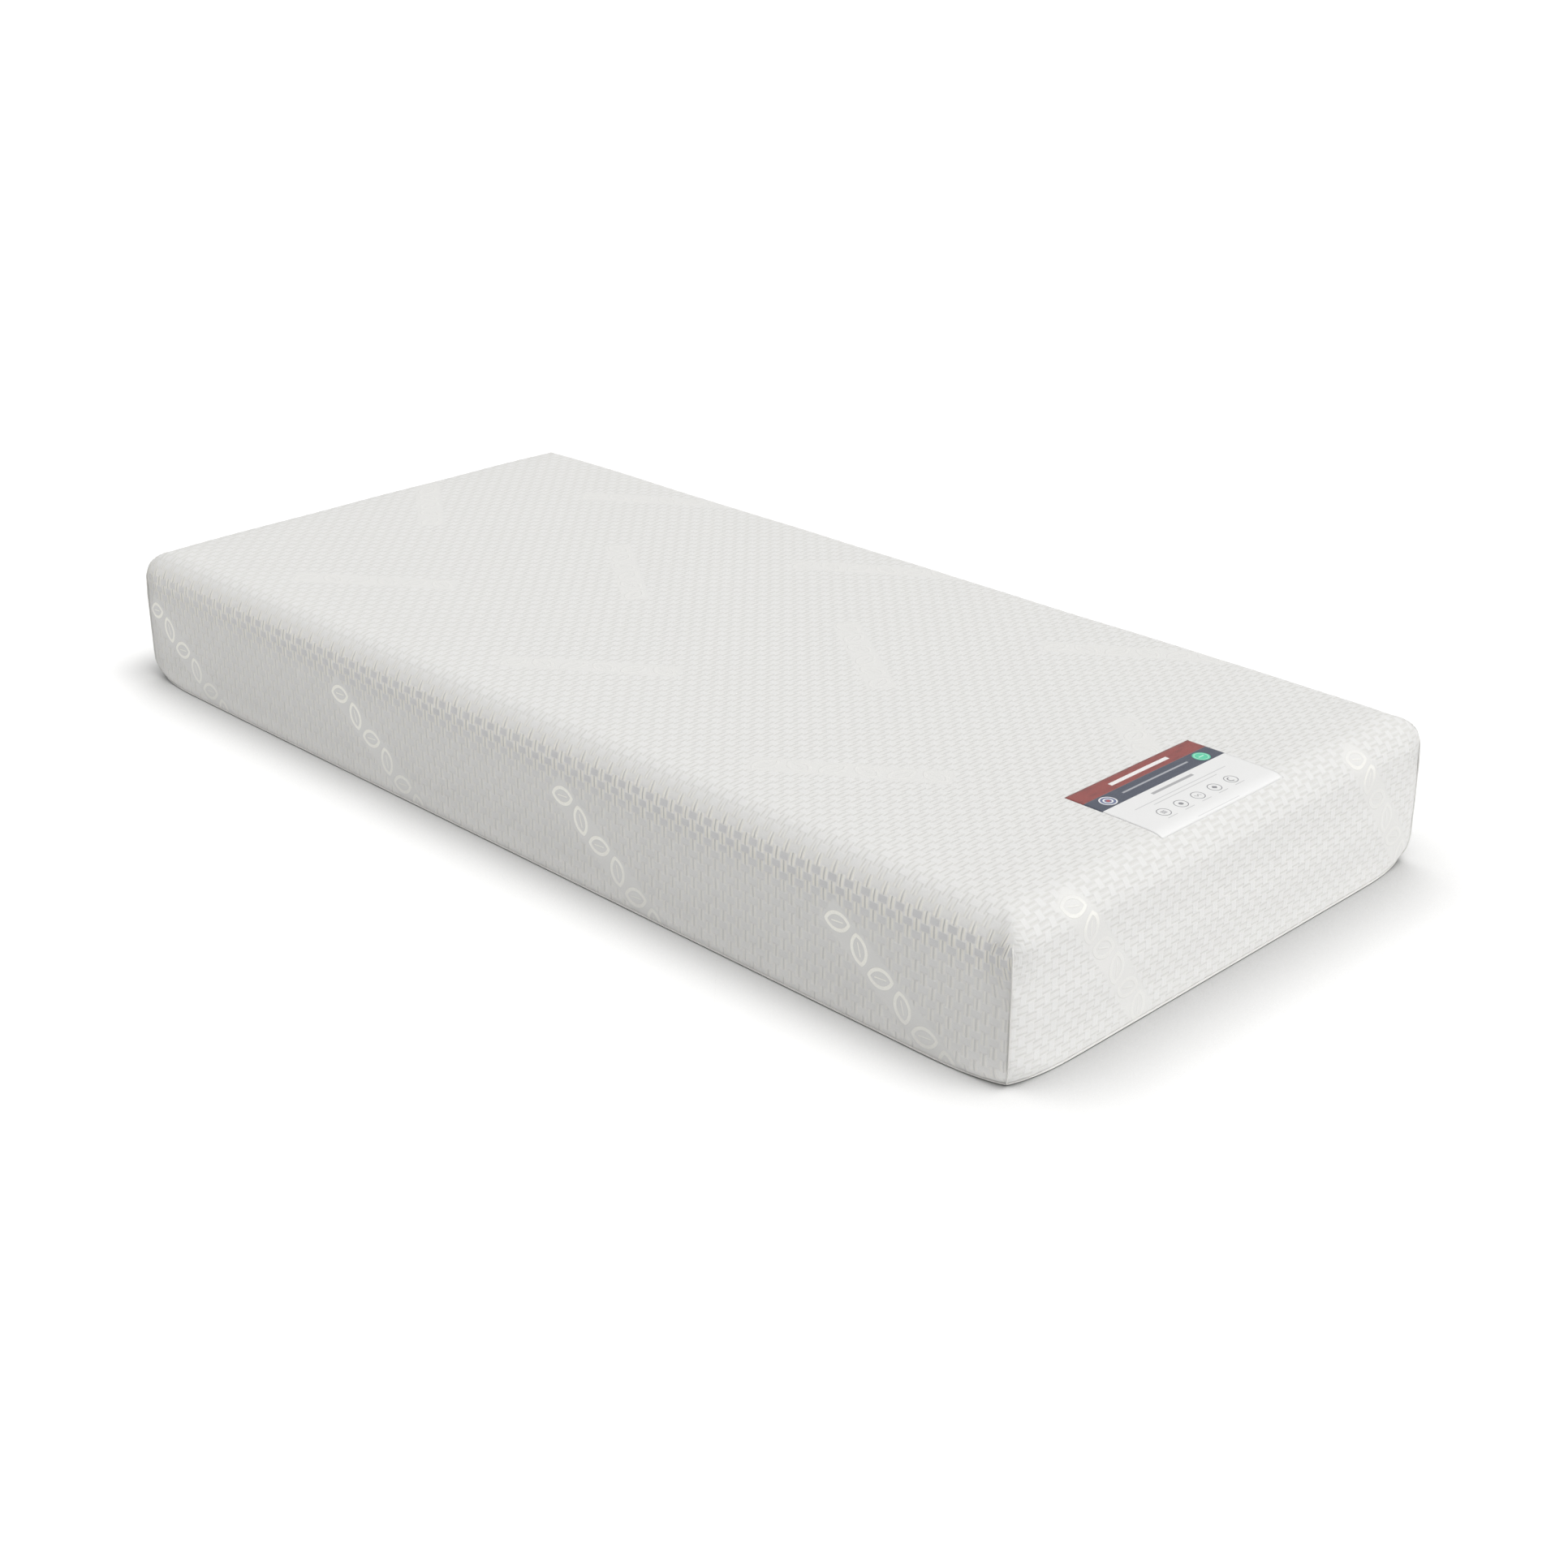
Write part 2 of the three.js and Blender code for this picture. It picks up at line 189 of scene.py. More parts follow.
def set_corner_field(piece, name, values):
    """Stores one vector per face corner, for the piece's material to read."""
    field = piece.data.attributes.new(name, "FLOAT_VECTOR", "CORNER")
    flat = np.zeros((len(piece.data.loops), 3), np.float32)
    flat[:, : values.shape[1]] = values
    field.data.foreach_set("vector", flat.ravel())


def unit(vectors):
    """The same directions at length one."""
    return vectors / np.maximum(np.linalg.norm(vectors, axis=-1, keepdims=True), 1e-9)


def smooth_step(value, low, high):
    share = np.clip((value - low) / (high - low), 0, 1)
    return share * share * (3 - 2 * share)


def points_at(x, y, z):
    """Points from three coordinates, each an array or one number for all."""
    return np.stack(np.broadcast_arrays(x, y, z), axis=-1)


def at_height(plan, height):
    return points_at(plan[:, 0], plan[:, 1], height)


def numbered(shape):
    """Point numbers in a grid of that shape."""
    return np.arange(math.prod(shape)).reshape(shape)


def grid_faces(index):
    """Quads between neighbouring entries of a 2-D array of point numbers."""
    corners = index[:-1, :-1], index[1:, :-1], index[1:, 1:], index[:-1, 1:]
    return np.stack([corner.ravel() for corner in corners], axis=1)


def point_normals(points, faces):
    a, b, c, d = (points[faces[:, k]] for k in range(4))
    across = np.cross(c - a, d - b)
    normals = np.zeros_like(points)
    for k in range(4):
        np.add.at(normals, faces[:, k], across)
    return unit(normals)


def tube(rings, closed=False, caps=(True, True)):
    """A skin over a row of closed rings: its points, and its faces with the ends capped or not."""
    rings = np.asarray(rings, float)
    index = numbered(rings.shape[:2])
    wrapped = np.concatenate([index, index[:, :1]], axis=1)
    if closed:
        wrapped = np.concatenate([wrapped, wrapped[:1]], axis=0)
    faces = grid_faces(wrapped).tolist()
    if caps[0]:
        faces.append(index[0].tolist())
    if caps[1]:
        faces.append(index[-1, ::-1].tolist())
    return rings.reshape(-1, 3), faces


def oval(half_width, half_height, lift=0.0, steps=8):
    """A round section for swept."""
    turns = 2 * math.pi * np.arange(steps) / steps
    return [(half_width * math.cos(turn), lift + half_height * math.sin(turn)) for turn in turns]


def swept(path, normals, section, closed=False):
    """A tube whose section (side, out) follows a path. Normals point out of the surface under it."""
    ahead = np.roll(path, -1, axis=0) - np.roll(path, 1, axis=0)
    if not closed:
        ahead[0] = path[1] - path[0]
        ahead[-1] = path[-1] - path[-2]
    ahead = unit(ahead)
    side = unit(np.cross(ahead, normals))
    out = np.cross(side, ahead)
    rings = [path + across * side + high * out for across, high in section]
    return tube(np.stack(rings, axis=1), closed, (not closed, not closed))


def two_sided(front, back):
    """A thin closed sheet between two grids of points."""
    front_index = numbered(front.shape[:2])
    back_index = front_index + front_index.size
    one, other = (
        np.concatenate([grid[:, 0], grid[-1, 1:], grid[-2::-1, -1], grid[0, -2:0:-1]])
        for grid in (front_index, back_index)
    )
    rim = np.stack([one, other, np.roll(other, -1), np.roll(one, -1)], axis=1)
    points = np.concatenate([front.reshape(-1, 3), back.reshape(-1, 3)])
    return points, np.concatenate([grid_faces(front_index), grid_faces(back_index)[:, ::-1], rim])


def bead(half_length, half_width, half_height, rings=3):
    """A closed rounded pill along its first axis, six-sided, made of quads with blunt ends."""
    sides = 6
    turn = math.pi * (np.arange(rings + 2)[:, None] + 0.5) / (rings + 2)
    around = 2 * math.pi / sides * np.arange(sides)
    thick = np.sin(turn) ** 0.6
    across, high = half_width * thick * np.cos(around), half_height * thick * np.sin(around)
    points, quads = tube(points_at(half_length * np.cos(turn), across, high), caps=(False, False))
    ends = np.arange(sides), len(points) - 1 - np.arange(sides)
    halves = [end[half] for end in ends for half in ([0, 1, 2, 3], [0, 3, 4, 5])]
    return points, np.concatenate([quads, halves])


def copies(shape_points, shape_faces, origins, axes):
    """One small shape repeated: axes holds three direction vectors for each origin."""
    points = np.einsum("sk,nkc->nsc", shape_points, axes) + origins[:, None, :]
    starts = np.arange(len(origins)) * len(shape_points)
    faces = shape_faces[None, :, :] + starts[:, None, None]
    return points.reshape(-1, 3), faces.reshape(-1, shape_faces.shape[1])


def evenly(path, step):
    """Points about step apart along a path."""
    gaps = np.linalg.norm(np.diff(path, axis=0), axis=1)
    along = np.concatenate([[0], np.cumsum(gaps)])
    at = np.arange(step / 2, along[-1], step)
    return np.stack([np.interp(at, along, path[:, k]) for k in range(3)], axis=1)


# ------------------------------------------------------------------ the mattress form


def round_corner(share, grow, radius, seamed):
    """Where share (0 to 1, towards the corner) lands on an outline's corner of that radius.

    seamed goes from 0, for a round corner, to 1, for two sides that bend in and meet at a seam.
    Returns the distance along the side, the distance pulled in, and the turn of the outline.
    """
    half = grow - radius * (1 - math.pi / 4)
    travel = share * grow - (grow - half) * share**3
    straight = grow - radius
    turn = np.clip((travel - straight) / np.maximum(radius, 1e-6), 0, math.pi / 4)
    along = np.where(travel < straight, travel, straight + radius * np.sin(turn))
    pulled = radius * (1 - np.cos(turn))
    inset = radius * (1 - math.sqrt(0.5))
    along = along + seamed * (share * (grow - inset) - along)
    pulled = pulled + seamed * (share**2 * inset - pulled)
    return along, pulled, turn


def top_points(p, q):
    """The top sheet's points without its crown.

    (p, q) run on over the top edges as a tape laid on the sheet would, from the middle of the top
    down to where the borders begin.
    """
    a = np.clip((np.abs(p) - FLAT_X) / EDGE_ARC, 0, 1)
    b = np.clip((np.abs(q) - FLAT_Y) / EDGE_ARC, 0, 1)
    ring = np.maximum(a, b)
    share = np.minimum(a, b) / np.maximum(ring, 1e-9)
    sharper = 1 / (1 + CORNER_SQUARENESS * share**2)
    grow = TOP_EDGE_RADIUS * np.sin(ring * math.pi / 2) ** sharper
    radius = grow * (1 - ring * (1 - CORNER_RADIUS / TOP_EDGE_RADIUS))
    along, pulled, _ = round_corner(share, grow, radius, ring**8)
    x_past = np.where(a >= b, grow - pulled, along)
    y_past = np.where(a >= b, along, grow - pulled)
    x = np.where(np.abs(p) < FLAT_X, np.abs(p), FLAT_X + x_past)
    y = np.where(np.abs(q) < FLAT_Y, np.abs(q), FLAT_Y + y_past)
    z = BORDER_TOP + TOP_EDGE_RADIUS * np.maximum(np.cos(ring * math.pi / 2), 0) ** sharper
    return points_at(np.sign(p) * x, np.sign(q) * y, z)


def border_columns(lines_p, lines_q):
    """Once round the border, from the foot end's left corner: foot, right, head, left.

    Each side has its columns' places and outward directions in plan, their cloth coordinates along
    the side, their gaps to the nearest corner, and their distances along the side.
    """
    sides = []
    for side in range(4):
        lines, half, flat, across = (
            (lines_p, HALF_WIDTH, FLAT_X, HALF_LENGTH),
            (lines_q, HALF_LENGTH, FLAT_Y, HALF_WIDTH),
        )[side % 2]
        share = np.clip((np.abs(lines) - flat) / EDGE_ARC, 0, 1)
        along, pulled, turn = round_corner(share, TOP_EDGE_RADIUS, CORNER_RADIUS, 1.0)
        place = np.sign(lines) * np.where(np.abs(lines) < flat, np.abs(lines), flat + along)
        away = across - pulled
        lean = np.sign(lines) * np.sin(turn)
        plane = np.stack([place, -away, lean, -np.cos(turn)], axis=1)
        if side % 2:
            plane = np.stack([away, place, np.cos(turn), lean], axis=1)
        turned = 1 if side < 2 else -1
        sides.append((turned * plane, turned * lines, half - np.abs(place), turned * place))
    return sides


def border_points(plane, gap, heights):
    """A side's border as rows of points, from its top down through the given heights.

    Its base edge is rounded, higher up and deeper where the gap to a corner is small.
    """
    near = np.exp(-((gap / BASE_CORNER_REACH) ** 2))
    high = BASE_EDGE_RADIUS + (BASE_CORNER_HEIGHT - BASE_EDGE_RADIUS) * near
    deep = BASE_EDGE_RADIUS + (BASE_CORNER_DEPTH - BASE_EDGE_RADIUS) * near
    below = np.clip(1 - heights[:, None] / high, 0, 1)
    drawn_in = deep * (1 - np.sqrt(1 - below**2))
    x, y = (plane[None, :, k] - plane[None, :, k + 2] * drawn_in for k in (0, 1))
    return points_at(x, y, heights[:, None])


def crown_lift(x, y):
    """How far the top stands up at a place: most in the middle, nothing at the top edges."""
    across = np.clip(1 - (np.abs(x) / (HALF_WIDTH - CROWN_REST)) ** 3, 0, 1)
    along = np.clip(1 - (np.abs(y) / (HALF_LENGTH - CROWN_REST)) ** 6, 0, 1)
    return CROWN * across * along


def slow_waves(x, y, z):
    """A slight unevenness of foam under a stretched cover, the same at every run."""
    return UNEVENNESS * (
        0.5 * np.sin(x / 71 + 1.3) * np.sin(y / 113 + 0.4)
        + 0.3 * np.sin(x / 41 - y / 67 + 2.1)
        + 0.2 * np.sin(y / 37 + z / 29)
    )


def corner_give(x, y, z, most, reach, high):
    """How far the top corners give: most within reach of a corner, and nothing low on the borders."""
    away = np.hypot(np.abs(x) - HALF_WIDTH, np.abs(y) - HALF_LENGTH)
    return most * np.exp(-((away / reach) ** 2)) * smooth_step(z, 90, high)


def swell(points, outward, moved):
    """Adds the simulated movement, the crown and the bulge of the borders to the form's points."""
    x, y, z = points[..., 0], points[..., 1], points[..., 2]
    level = smooth_step(z, *BOW_HEIGHTS) * (1 - BOW_TOP_LOSS * smooth_step(z, BOW_TOP_HEIGHT, TOP))
    long_side = BORDER_BOW * (1 - (y / HALF_LENGTH) ** 2) * np.abs(outward[..., 0])
    end_side = END_BOW * (1 - (x / HALF_WIDTH) ** 2) * np.abs(outward[..., 1])
    bulge = np.clip(long_side + end_side, 0, None) * level - corner_give(x, y, z, *CORNER_SLACK)
    bulge += slow_waves(x, y, z) * smooth_step(z, *WAVE_HEIGHTS)
    lifted = points + moved + outward * bulge[..., None]
    lifted[..., 2] += crown_lift(x, y) * smooth_step(z, TOP - 45, TOP - 5)
    lifted[..., 2] -= corner_give(x, y, z, *CORNER_DROP)
    return lifted


def motif_place(dv, du, lean):
    """Along and across a bar, for a place given from the bar's middle."""
    cosine, sine = math.cos(MOTIF_SLANT), lean * math.sin(MOTIF_SLANT)
    return dv * cosine - du * sine, dv * sine + du * cosine


def motif_share(across, along):
    """1 inside the motif's bars, where the knit lies flat, and 0 elsewhere."""
    found = np.zeros(np.shape(across))
    for row_across, row_along, lean in MOTIF_ROWS:
        dv = along - row_along
        dv -= MOTIF_PITCH * np.round(dv / MOTIF_PITCH)
        length, width = motif_place(dv, across - row_across, lean)
        inside = smooth_step(MOTIF_HALF_LENGTH - np.abs(length), -4, 4)
        inside *= smooth_step(MOTIF_HALF_WIDTH - np.abs(width), -4, 4)
        found = np.maximum(found, inside)
    return found


def knit_relief(across, along):
    """The low cells and the ribs between them, as far as the mesh can hold them."""
    turn = 2 * math.pi / KNIT_PITCH
    cells = np.cos(turn * (across - KNIT_SHIFT)) * np.cos(turn * along)
    return -KNIT_RELIEF * cells * (1 - motif_share(across, along))


# ------------------------------------------------------------------ node materials


def add_node(tree, kind, inputs, **settings):
    """A node with its settings, and with each input joined to a field or socket or set to a value."""
    node = tree.nodes.new(kind)
    for setting, value in settings.items():
        setattr(node, setting, value)
    for slot, value in inputs.items():
        value = getattr(value, "socket", value)
        if isinstance(value, bpy.types.NodeSocket):
            tree.links.new(value, node.inputs[slot])
        else:
            node.inputs[slot].default_value = value
    return node


class Field:
    """A number in a node tree. Arithmetic on it adds Math nodes."""

    def __init__(self, tree, socket):
        self.tree = tree
        self.socket = socket

    def math(self, operation, *others):
        inputs = dict(enumerate((self, *others)))
        node = add_node(self.tree, "ShaderNodeMath", inputs, operation=operation)
        return Field(self.tree, node.outputs[0])

    def __add__(self, other):
        return self.math("ADD", other)

    def __sub__(self, other):
        return self.math("SUBTRACT", other)

    def __rsub__(self, other):
        return self * -1.0 + other

    def __mul__(self, other):
        return self.math("MULTIPLY", other)

    def __abs__(self):
        return self.math("ABSOLUTE")

    def highest(self, other):
        return self.math("MAXIMUM", other)

    def root(self):
        return self.math("SQRT")

    def sine(self, scale):
        return (self * scale).math("SINE")

    def near(self, pitch, shift=0.0):
        """The signed distance to the nearest of the places shift, shift + pitch, ..."""
        return (self + (pitch / 2 - shift)).math("FLOORED_MODULO", pitch) - pitch / 2

    def ramp(self, low, high, start=0.0, end=1.0):
        """start at low, end at high, a soft step between them, and level beyond."""
        low, high, start, end = (low, high, start, end) if low < high else (high, low, end, start)
        inputs = {"Value": self, "From Min": low, "From Max": high, "To Min": start, "To Max": end}
        node = add_node(self.tree, "ShaderNodeMapRange", inputs, interpolation_type="SMOOTHSTEP")
        return Field(self.tree, node.outputs["Result"])


def seen_directly(tree):
    """1 where the camera looks straight at a place, and 0 for light that goes on from there."""
    return Field(tree, add_node(tree, "ShaderNodeLightPath", {}).outputs["Is Camera Ray"])


def disc(x, y, radius, soft=0.3):
    """1 inside a circle."""
    return (x * x + y * y).root().ramp(radius + soft, radius - soft)


def ring(x, y, radius, width, soft=0.25):
    """1 on a circle's line."""
    away = abs((x * x + y * y).root() - radius)
    return away.ramp(width / 2 + soft, width / 2 - soft)


def patch(x, y, half_x, half_y, soft=0.3):
    """1 inside a rectangle."""
    return abs(x).ramp(half_x + soft, half_x - soft) * abs(y).ramp(half_y + soft, half_y - soft)


class Surface:
    """A node material being built: its coordinates, its colour layers and its bump."""

    def __init__(self, name, colour, roughness, **sockets):
        self.material = bpy.data.materials.new(name)
        self.material.use_nodes = True
        self.tree = self.material.node_tree
        self.shader = next(n for n in self.tree.nodes if n.type == "BSDF_PRINCIPLED")
        self.shader.inputs["Roughness"].default_value = roughness
        self.shader.inputs["Base Color"].default_value = (*colour, 1)
        for socket, value in sockets.items():
            self.shader.inputs[socket.replace("_", " ")].default_value = value
        self.colour = (*colour, 1)

    def add(self, kind, inputs, **settings):
        return add_node(self.tree, kind, inputs, **settings)

    def scaled(self, vector, factors):
        inputs = {0: vector, 1: factors}
        return self.add("ShaderNodeVectorMath", inputs, operation="MULTIPLY").outputs[0]

    def coordinates(self, name=None):
        """The three fields of a stored coordinate, or of the object's own place in millimetres."""
        if name:
            self.vector = self.add("ShaderNodeAttribute", {}, attribute_name=name).outputs["Vector"]
        else:
            place = self.add("ShaderNodeTexCoord", {}).outputs["Object"]
            self.vector = self.scaled(place, [1 / MM] * 3)
        split = self.add("ShaderNodeSeparateXYZ", {0: self.vector})
        return [Field(self.tree, output) for output in split.outputs]

    def texture(self, kind, output, size, stretch=(1, 1, 1), **inputs):
        """A texture with features of about size millimetres, finer where stretch is larger."""
        inputs["Vector"] = self.scaled(self.vector, [s / size for s in stretch])
        return Field(self.tree, self.add(kind, {"Scale": 1.0, **inputs}).outputs[output])

    def noise(self, size, detail=2.0, stretch=(1, 1, 1)):
        """Soft noise between 0 and 1."""
        return self.texture("ShaderNodeTexNoise", "Fac", size, stretch, Detail=detail)

    def paint(self, share, colour):
        """Lays a colour over what is there, as far as the field share says."""
        inputs = {"Factor": share, "A": self.colour, "B": (*colour, 1)}
        self.colour = self.add("ShaderNodeMix", inputs, data_type="RGBA").outputs["Result"]

    def paint_contact_shadow(self, reach, power, lean):
        """Paints a contact shadow into the colour: darker where something stands close over it, seen in
        the lean direction, and only where the camera looks straight at the surface.
        """
        direction = self.add("ShaderNodeCombineXYZ", dict(enumerate(lean))).outputs[0]
        inputs = {"Distance": reach, "Normal": direction}
        openness = self.add("ShaderNodeAmbientOcclusion", inputs, samples=6).outputs["AO"]
        shade = Field(self.tree, openness).math("POWER", power)
        self.paint((1 - shade) * seen_directly(self.tree), (0, 0, 0))

    def finish(self, height=None, depth=1.0):
        """Connects the colour, and the height in millimetres as bump."""
        self.tree.links.new(self.colour, self.shader.inputs["Base Color"])
        if height is not None:
            inputs = {"Strength": 1.0, "Distance": depth * MM, "Height": height}
            bump = self.add("ShaderNodeBump", inputs)
            self.tree.links.new(bump.outputs[0], self.shader.inputs["Normal"])
        return self.material


def leaf_outline(length, width):
    """Leaf outlines with a midrib, one every LEAF_PITCH, leaning to one side and the other in turn."""
    turned = length.near(2 * LEAF_PITCH, LEAF_PITCH).ramp(-1, 1, -1, 1)
    x = length.near(LEAF_PITCH, LEAF_PITCH / 2)
    y = width * turned
    along = x * math.cos(LEAF_LEAN) + y * math.sin(LEAF_LEAN)
    beside = abs(y * math.cos(LEAF_LEAN) - x * math.sin(LEAF_LEAN))
    # A leaf is where two circles overlap.
    total = LEAF_HALF_LENGTH**2 / LEAF_HALF_WIDTH
    radius, centre = (total + LEAF_HALF_WIDTH) / 2, (total - LEAF_HALF_WIDTH) / 2
    beyond = beside + centre
    inwards = radius - (along * along + beyond * beyond).root()
    line = abs(inwards - LEAF_LINE / 2).ramp(LEAF_LINE / 2 + 0.3, LEAF_LINE / 2 - 0.3)
    midrib = beside.ramp(1.2, 0.7) * abs(along).ramp(10.5, 9.5)
    return line.highest(midrib)


def motif_fields(across, along):
    """The motif's bars and its sprigs of leaves, as two fields from 0 to 1."""
    rows = []
    for row_across, row_along, lean in MOTIF_ROWS:
        dv = along.near(MOTIF_PITCH, row_along)
        length, width = motif_place(dv, across - row_across, lean)
        inside = patch(length, width, MOTIF_HALF_LENGTH, MOTIF_HALF_WIDTH, 3.0)
        sprig = leaf_outline(length, width) * abs(length).ramp(3 * LEAF_PITCH, 3 * LEAF_PITCH - 1)
        rows.append((inside, sprig))
    return [functools.reduce(Field.highest, fields) for fields in zip(*rows)]


def knit_fields(across, along):
    """The repeat's cells, ribs, slits and gaps, as four fields from 0 to 1."""
    sets = []
    for shift in (0.0, KNIT_PITCH / 2):
        u = across.near(KNIT_PITCH, shift + KNIT_SHIFT)
        v = along.near(KNIT_PITCH, shift)
        beside = abs(along.near(KNIT_PITCH, shift + KNIT_PITCH / 2))
        ends = abs(u).ramp(RIB_HALF_LENGTH, RIB_HALF_LENGTH - 2)
        rib = abs(beside - RIB_OFFSET).ramp(RIB_HALF_WIDTH, RIB_HALF_WIDTH - 1.6)
        rib = rib * abs(u).ramp(RIB_HALF_LENGTH, RIB_HALF_LENGTH - 3)
        slit = beside.ramp(1.1, 0.4) * ends
        gap = abs(beside - GAP_OFFSET).ramp(2.0, 0.5) * ends
        sets.append((patch(u, v, CELL_ACROSS, CELL_ALONG, 0.9), rib, slit, gap))
    return [one.highest(other) for one, other in zip(*sets)]


def knit_material():
    """The cover's double knit: cool recessed cells, cream ribs in pairs, and the sprig motif, with
    shade painted into its recesses and light and shade painted along its top edges and long sides.
    """
    surface = Surface("knit", (0.685, 0.682, 0.670), 0.9, Sheen_Weight=0.15, Sheen_Roughness=0.5)
    place_x, place_y, _ = surface.coordinates()
    across, along, depth = surface.coordinates("cloth")
    bars, sprigs = motif_fields(across, along)
    plain = 1 - bars
    cells, ribs, slits, gaps = (field * plain for field in knit_fields(across, along))

    # On the long sides the ribs stand up in cream pairs with a slit between. Elsewhere one pale rib
    # lies between two shallow gaps. On the long sides the pattern and the shade painted into its cells
    # and slits are strongest just under the top edge and fade lower down.
    past_seam = abs(place_x) - abs(place_y) + (HALF_LENGTH - HALF_WIDTH)
    long_side = abs(across).ramp(FLAT_X + SIDE_STARTS, FLAT_X + SIDE_FULL) * past_seam.ramp(-2, 2)
    end_side = abs(along).ramp(FLAT_Y + SIDE_STARTS, FLAT_Y + SIDE_FULL) * past_seam.ramp(2, -2)
    level = 1 - long_side
    pattern_and_shade_strength = long_side * depth.ramp(0, 52, 1.0, 0.25)
    patchy = surface.noise(60.0, 3.0).ramp(0.3, 0.7, 0.75, 1.0) * along.ramp(450, 930, 1.0, 0.5)
    surface.paint(ribs * (pattern_and_shade_strength * 0.80 + long_side * 0.16), (0.78, 0.760, 0.685))
    # Painted light along the long sides' top edge, fading out just below it.
    surface.paint(long_side * depth.ramp(14, 0) * 0.22, (0.95, 0.94, 0.91))
    # Painted shade in the recessed cells of the long sides, patchy and weaker towards the ends.
    surface.paint(cells * pattern_and_shade_strength * depth.ramp(0.70, 0.85) * 0.71 * patchy, (0.51, 0.51, 0.53))
    # Painted shade on the ends' top edges, and painted light on the long sides that grows towards the
    # base, standing in for light thrown up from the floor.
    end_crest_shade = abs(along).ramp(FLAT_Y, FLAT_Y + 22) * abs(along).ramp(FLAT_Y + 66, FLAT_Y + 40)
    surface.paint(end_crest_shade * 0.12, (0.35, 0.345, 0.335))
    surface.paint(long_side * depth.ramp(135, 172) * 0.35, (0.95, 0.94, 0.92))
    surface.paint(cells.highest(slits) * level * 0.46, (0.73, 0.73, 0.73))
    # Painted shade in the shallow gaps of the top and ends, weaker on the ends.
    surface.paint(gaps * level * (end_side * -0.12 + 0.60), (0.60, 0.595, 0.575))
    # Painted shade in the slits between the long sides' rib pairs.
    surface.paint(slits * (pattern_and_shade_strength * 0.62 + long_side * 0.16), (0.45, 0.445, 0.43))
    # The motif's bars lie flat, and its sprigs are brightest on the long sides.
    surface.paint(bars * 0.8, (0.70, 0.697, 0.685))
    bright = long_side * depth.ramp(70, 175, 0.85, 0.4) + end_side * depth.ramp(2, 20, 0.38, 0.04)
    surface.paint(sprigs * (bright + 0.07), (0.93, 0.92, 0.86))
    # Painted shade in a thin line beside each corner seam, on the long sides only.
    seam_shade_line = abs(place_y).ramp(SEAM_PLACE - 3.6, SEAM_PLACE - 2.2) * long_side
    surface.paint(seam_shade_line * depth.ramp(0.85, 0.95) * 0.5, (0.36, 0.355, 0.34))
    surface.paint(surface.noise(2.4, 2.0).ramp(0.35, 0.65) * 0.14, (0.60, 0.597, 0.59))

    loops = across.sine(2 * math.pi / 1.3) * along.sine(2 * math.pi / 1.7)
    height = ribs * long_side * 0.55 + gaps * level * -0.35 + slits * long_side * -0.5
    height = height + cells * (long_side * -0.55 + 0.20) + sprigs * 0.35 + loops * 0.10
    return surface.finish(height + surface.noise(2.2, 2.0) * 0.15)


def woven_material(name, colour, dark, pitch, roughness=0.9, depth=0.25):
    """A plain weave of two threads, each one over the other in turn."""
    surface = Surface(name, colour, roughness)
    x, y, _ = surface.coordinates()
    warp = x.sine(math.pi / pitch) * y.sine(2 * math.pi / pitch)
    weft = y.sine(math.pi / pitch) * x.sine(2 * math.pi / pitch)
    weave = abs(warp).highest(abs(weft))
    # Painted shade where the threads dip under each other.
    surface.paint(weave.ramp(0.5, 0.05) * 0.6, dark)
    surface.paint(surface.noise(25.0, 3.0).ramp(0.4, 0.75) * 0.25, dark)
    return surface.finish(weave, depth)


def thread_material(name, colour):
    """Twisted sewing thread."""
    surface = Surface(name, colour, 0.65, Sheen_Weight=0.2)
    x, y, z = surface.coordinates()
    twist = (x + y + z * 1.3).sine(2 * math.pi / 0.6)
    # Painted shade in the grooves of the twist.
    surface.paint(twist.ramp(-0.2, -0.9) * 0.35, tuple(c * 0.7 for c in colour))
    return surface.finish(twist, 0.08)


def foam_material(name, colour, dark, cell):
    """Open-cell foam with skin pores."""
    surface = Surface(name, colour, 0.95)
    surface.coordinates()
    pores = surface.texture("ShaderNodeTexVoronoi", "Distance", cell)
    # Painted shade in the pores.
    surface.paint(pores.ramp(0.55, 0.15) * 0.5, dark)
    surface.paint(surface.noise(80.0, 3.0).ramp(0.4, 0.7) * 0.3, dark)
    return surface.finish(pores, cell * 0.4)


def metal_material():
    """Plated zinc with fine tumbling marks."""
    surface = Surface("zip_metal", (0.62, 0.61, 0.59), 0.32, Metallic=1.0)
    surface.coordinates()
    marks = surface.noise(0.5, 4.0, (1, 0.2, 1))
    surface.paint(marks.ramp(0.45, 0.7) * 0.25, (0.42, 0.41, 0.40))
    worn = surface.noise(2.0, 3.0).ramp(0.3, 0.7, 0.26, 0.42)
    surface.tree.links.new(worn.socket, surface.shader.inputs["Roughness"])
    return surface.finish(marks, 0.03)


def nylon_material():
    surface = Surface("zip_nylon", (0.80, 0.79, 0.77), 0.38)
    surface.coordinates()
    surface.paint(surface.noise(6.0, 2.0).ramp(0.4, 0.7) * 0.2, (0.70, 0.69, 0.66))
    return surface.finish(surface.noise(0.8, 2.0), 0.05)


INK = (0.12, 0.12, 0.14)
PAPER = (0.76, 0.76, 0.76)
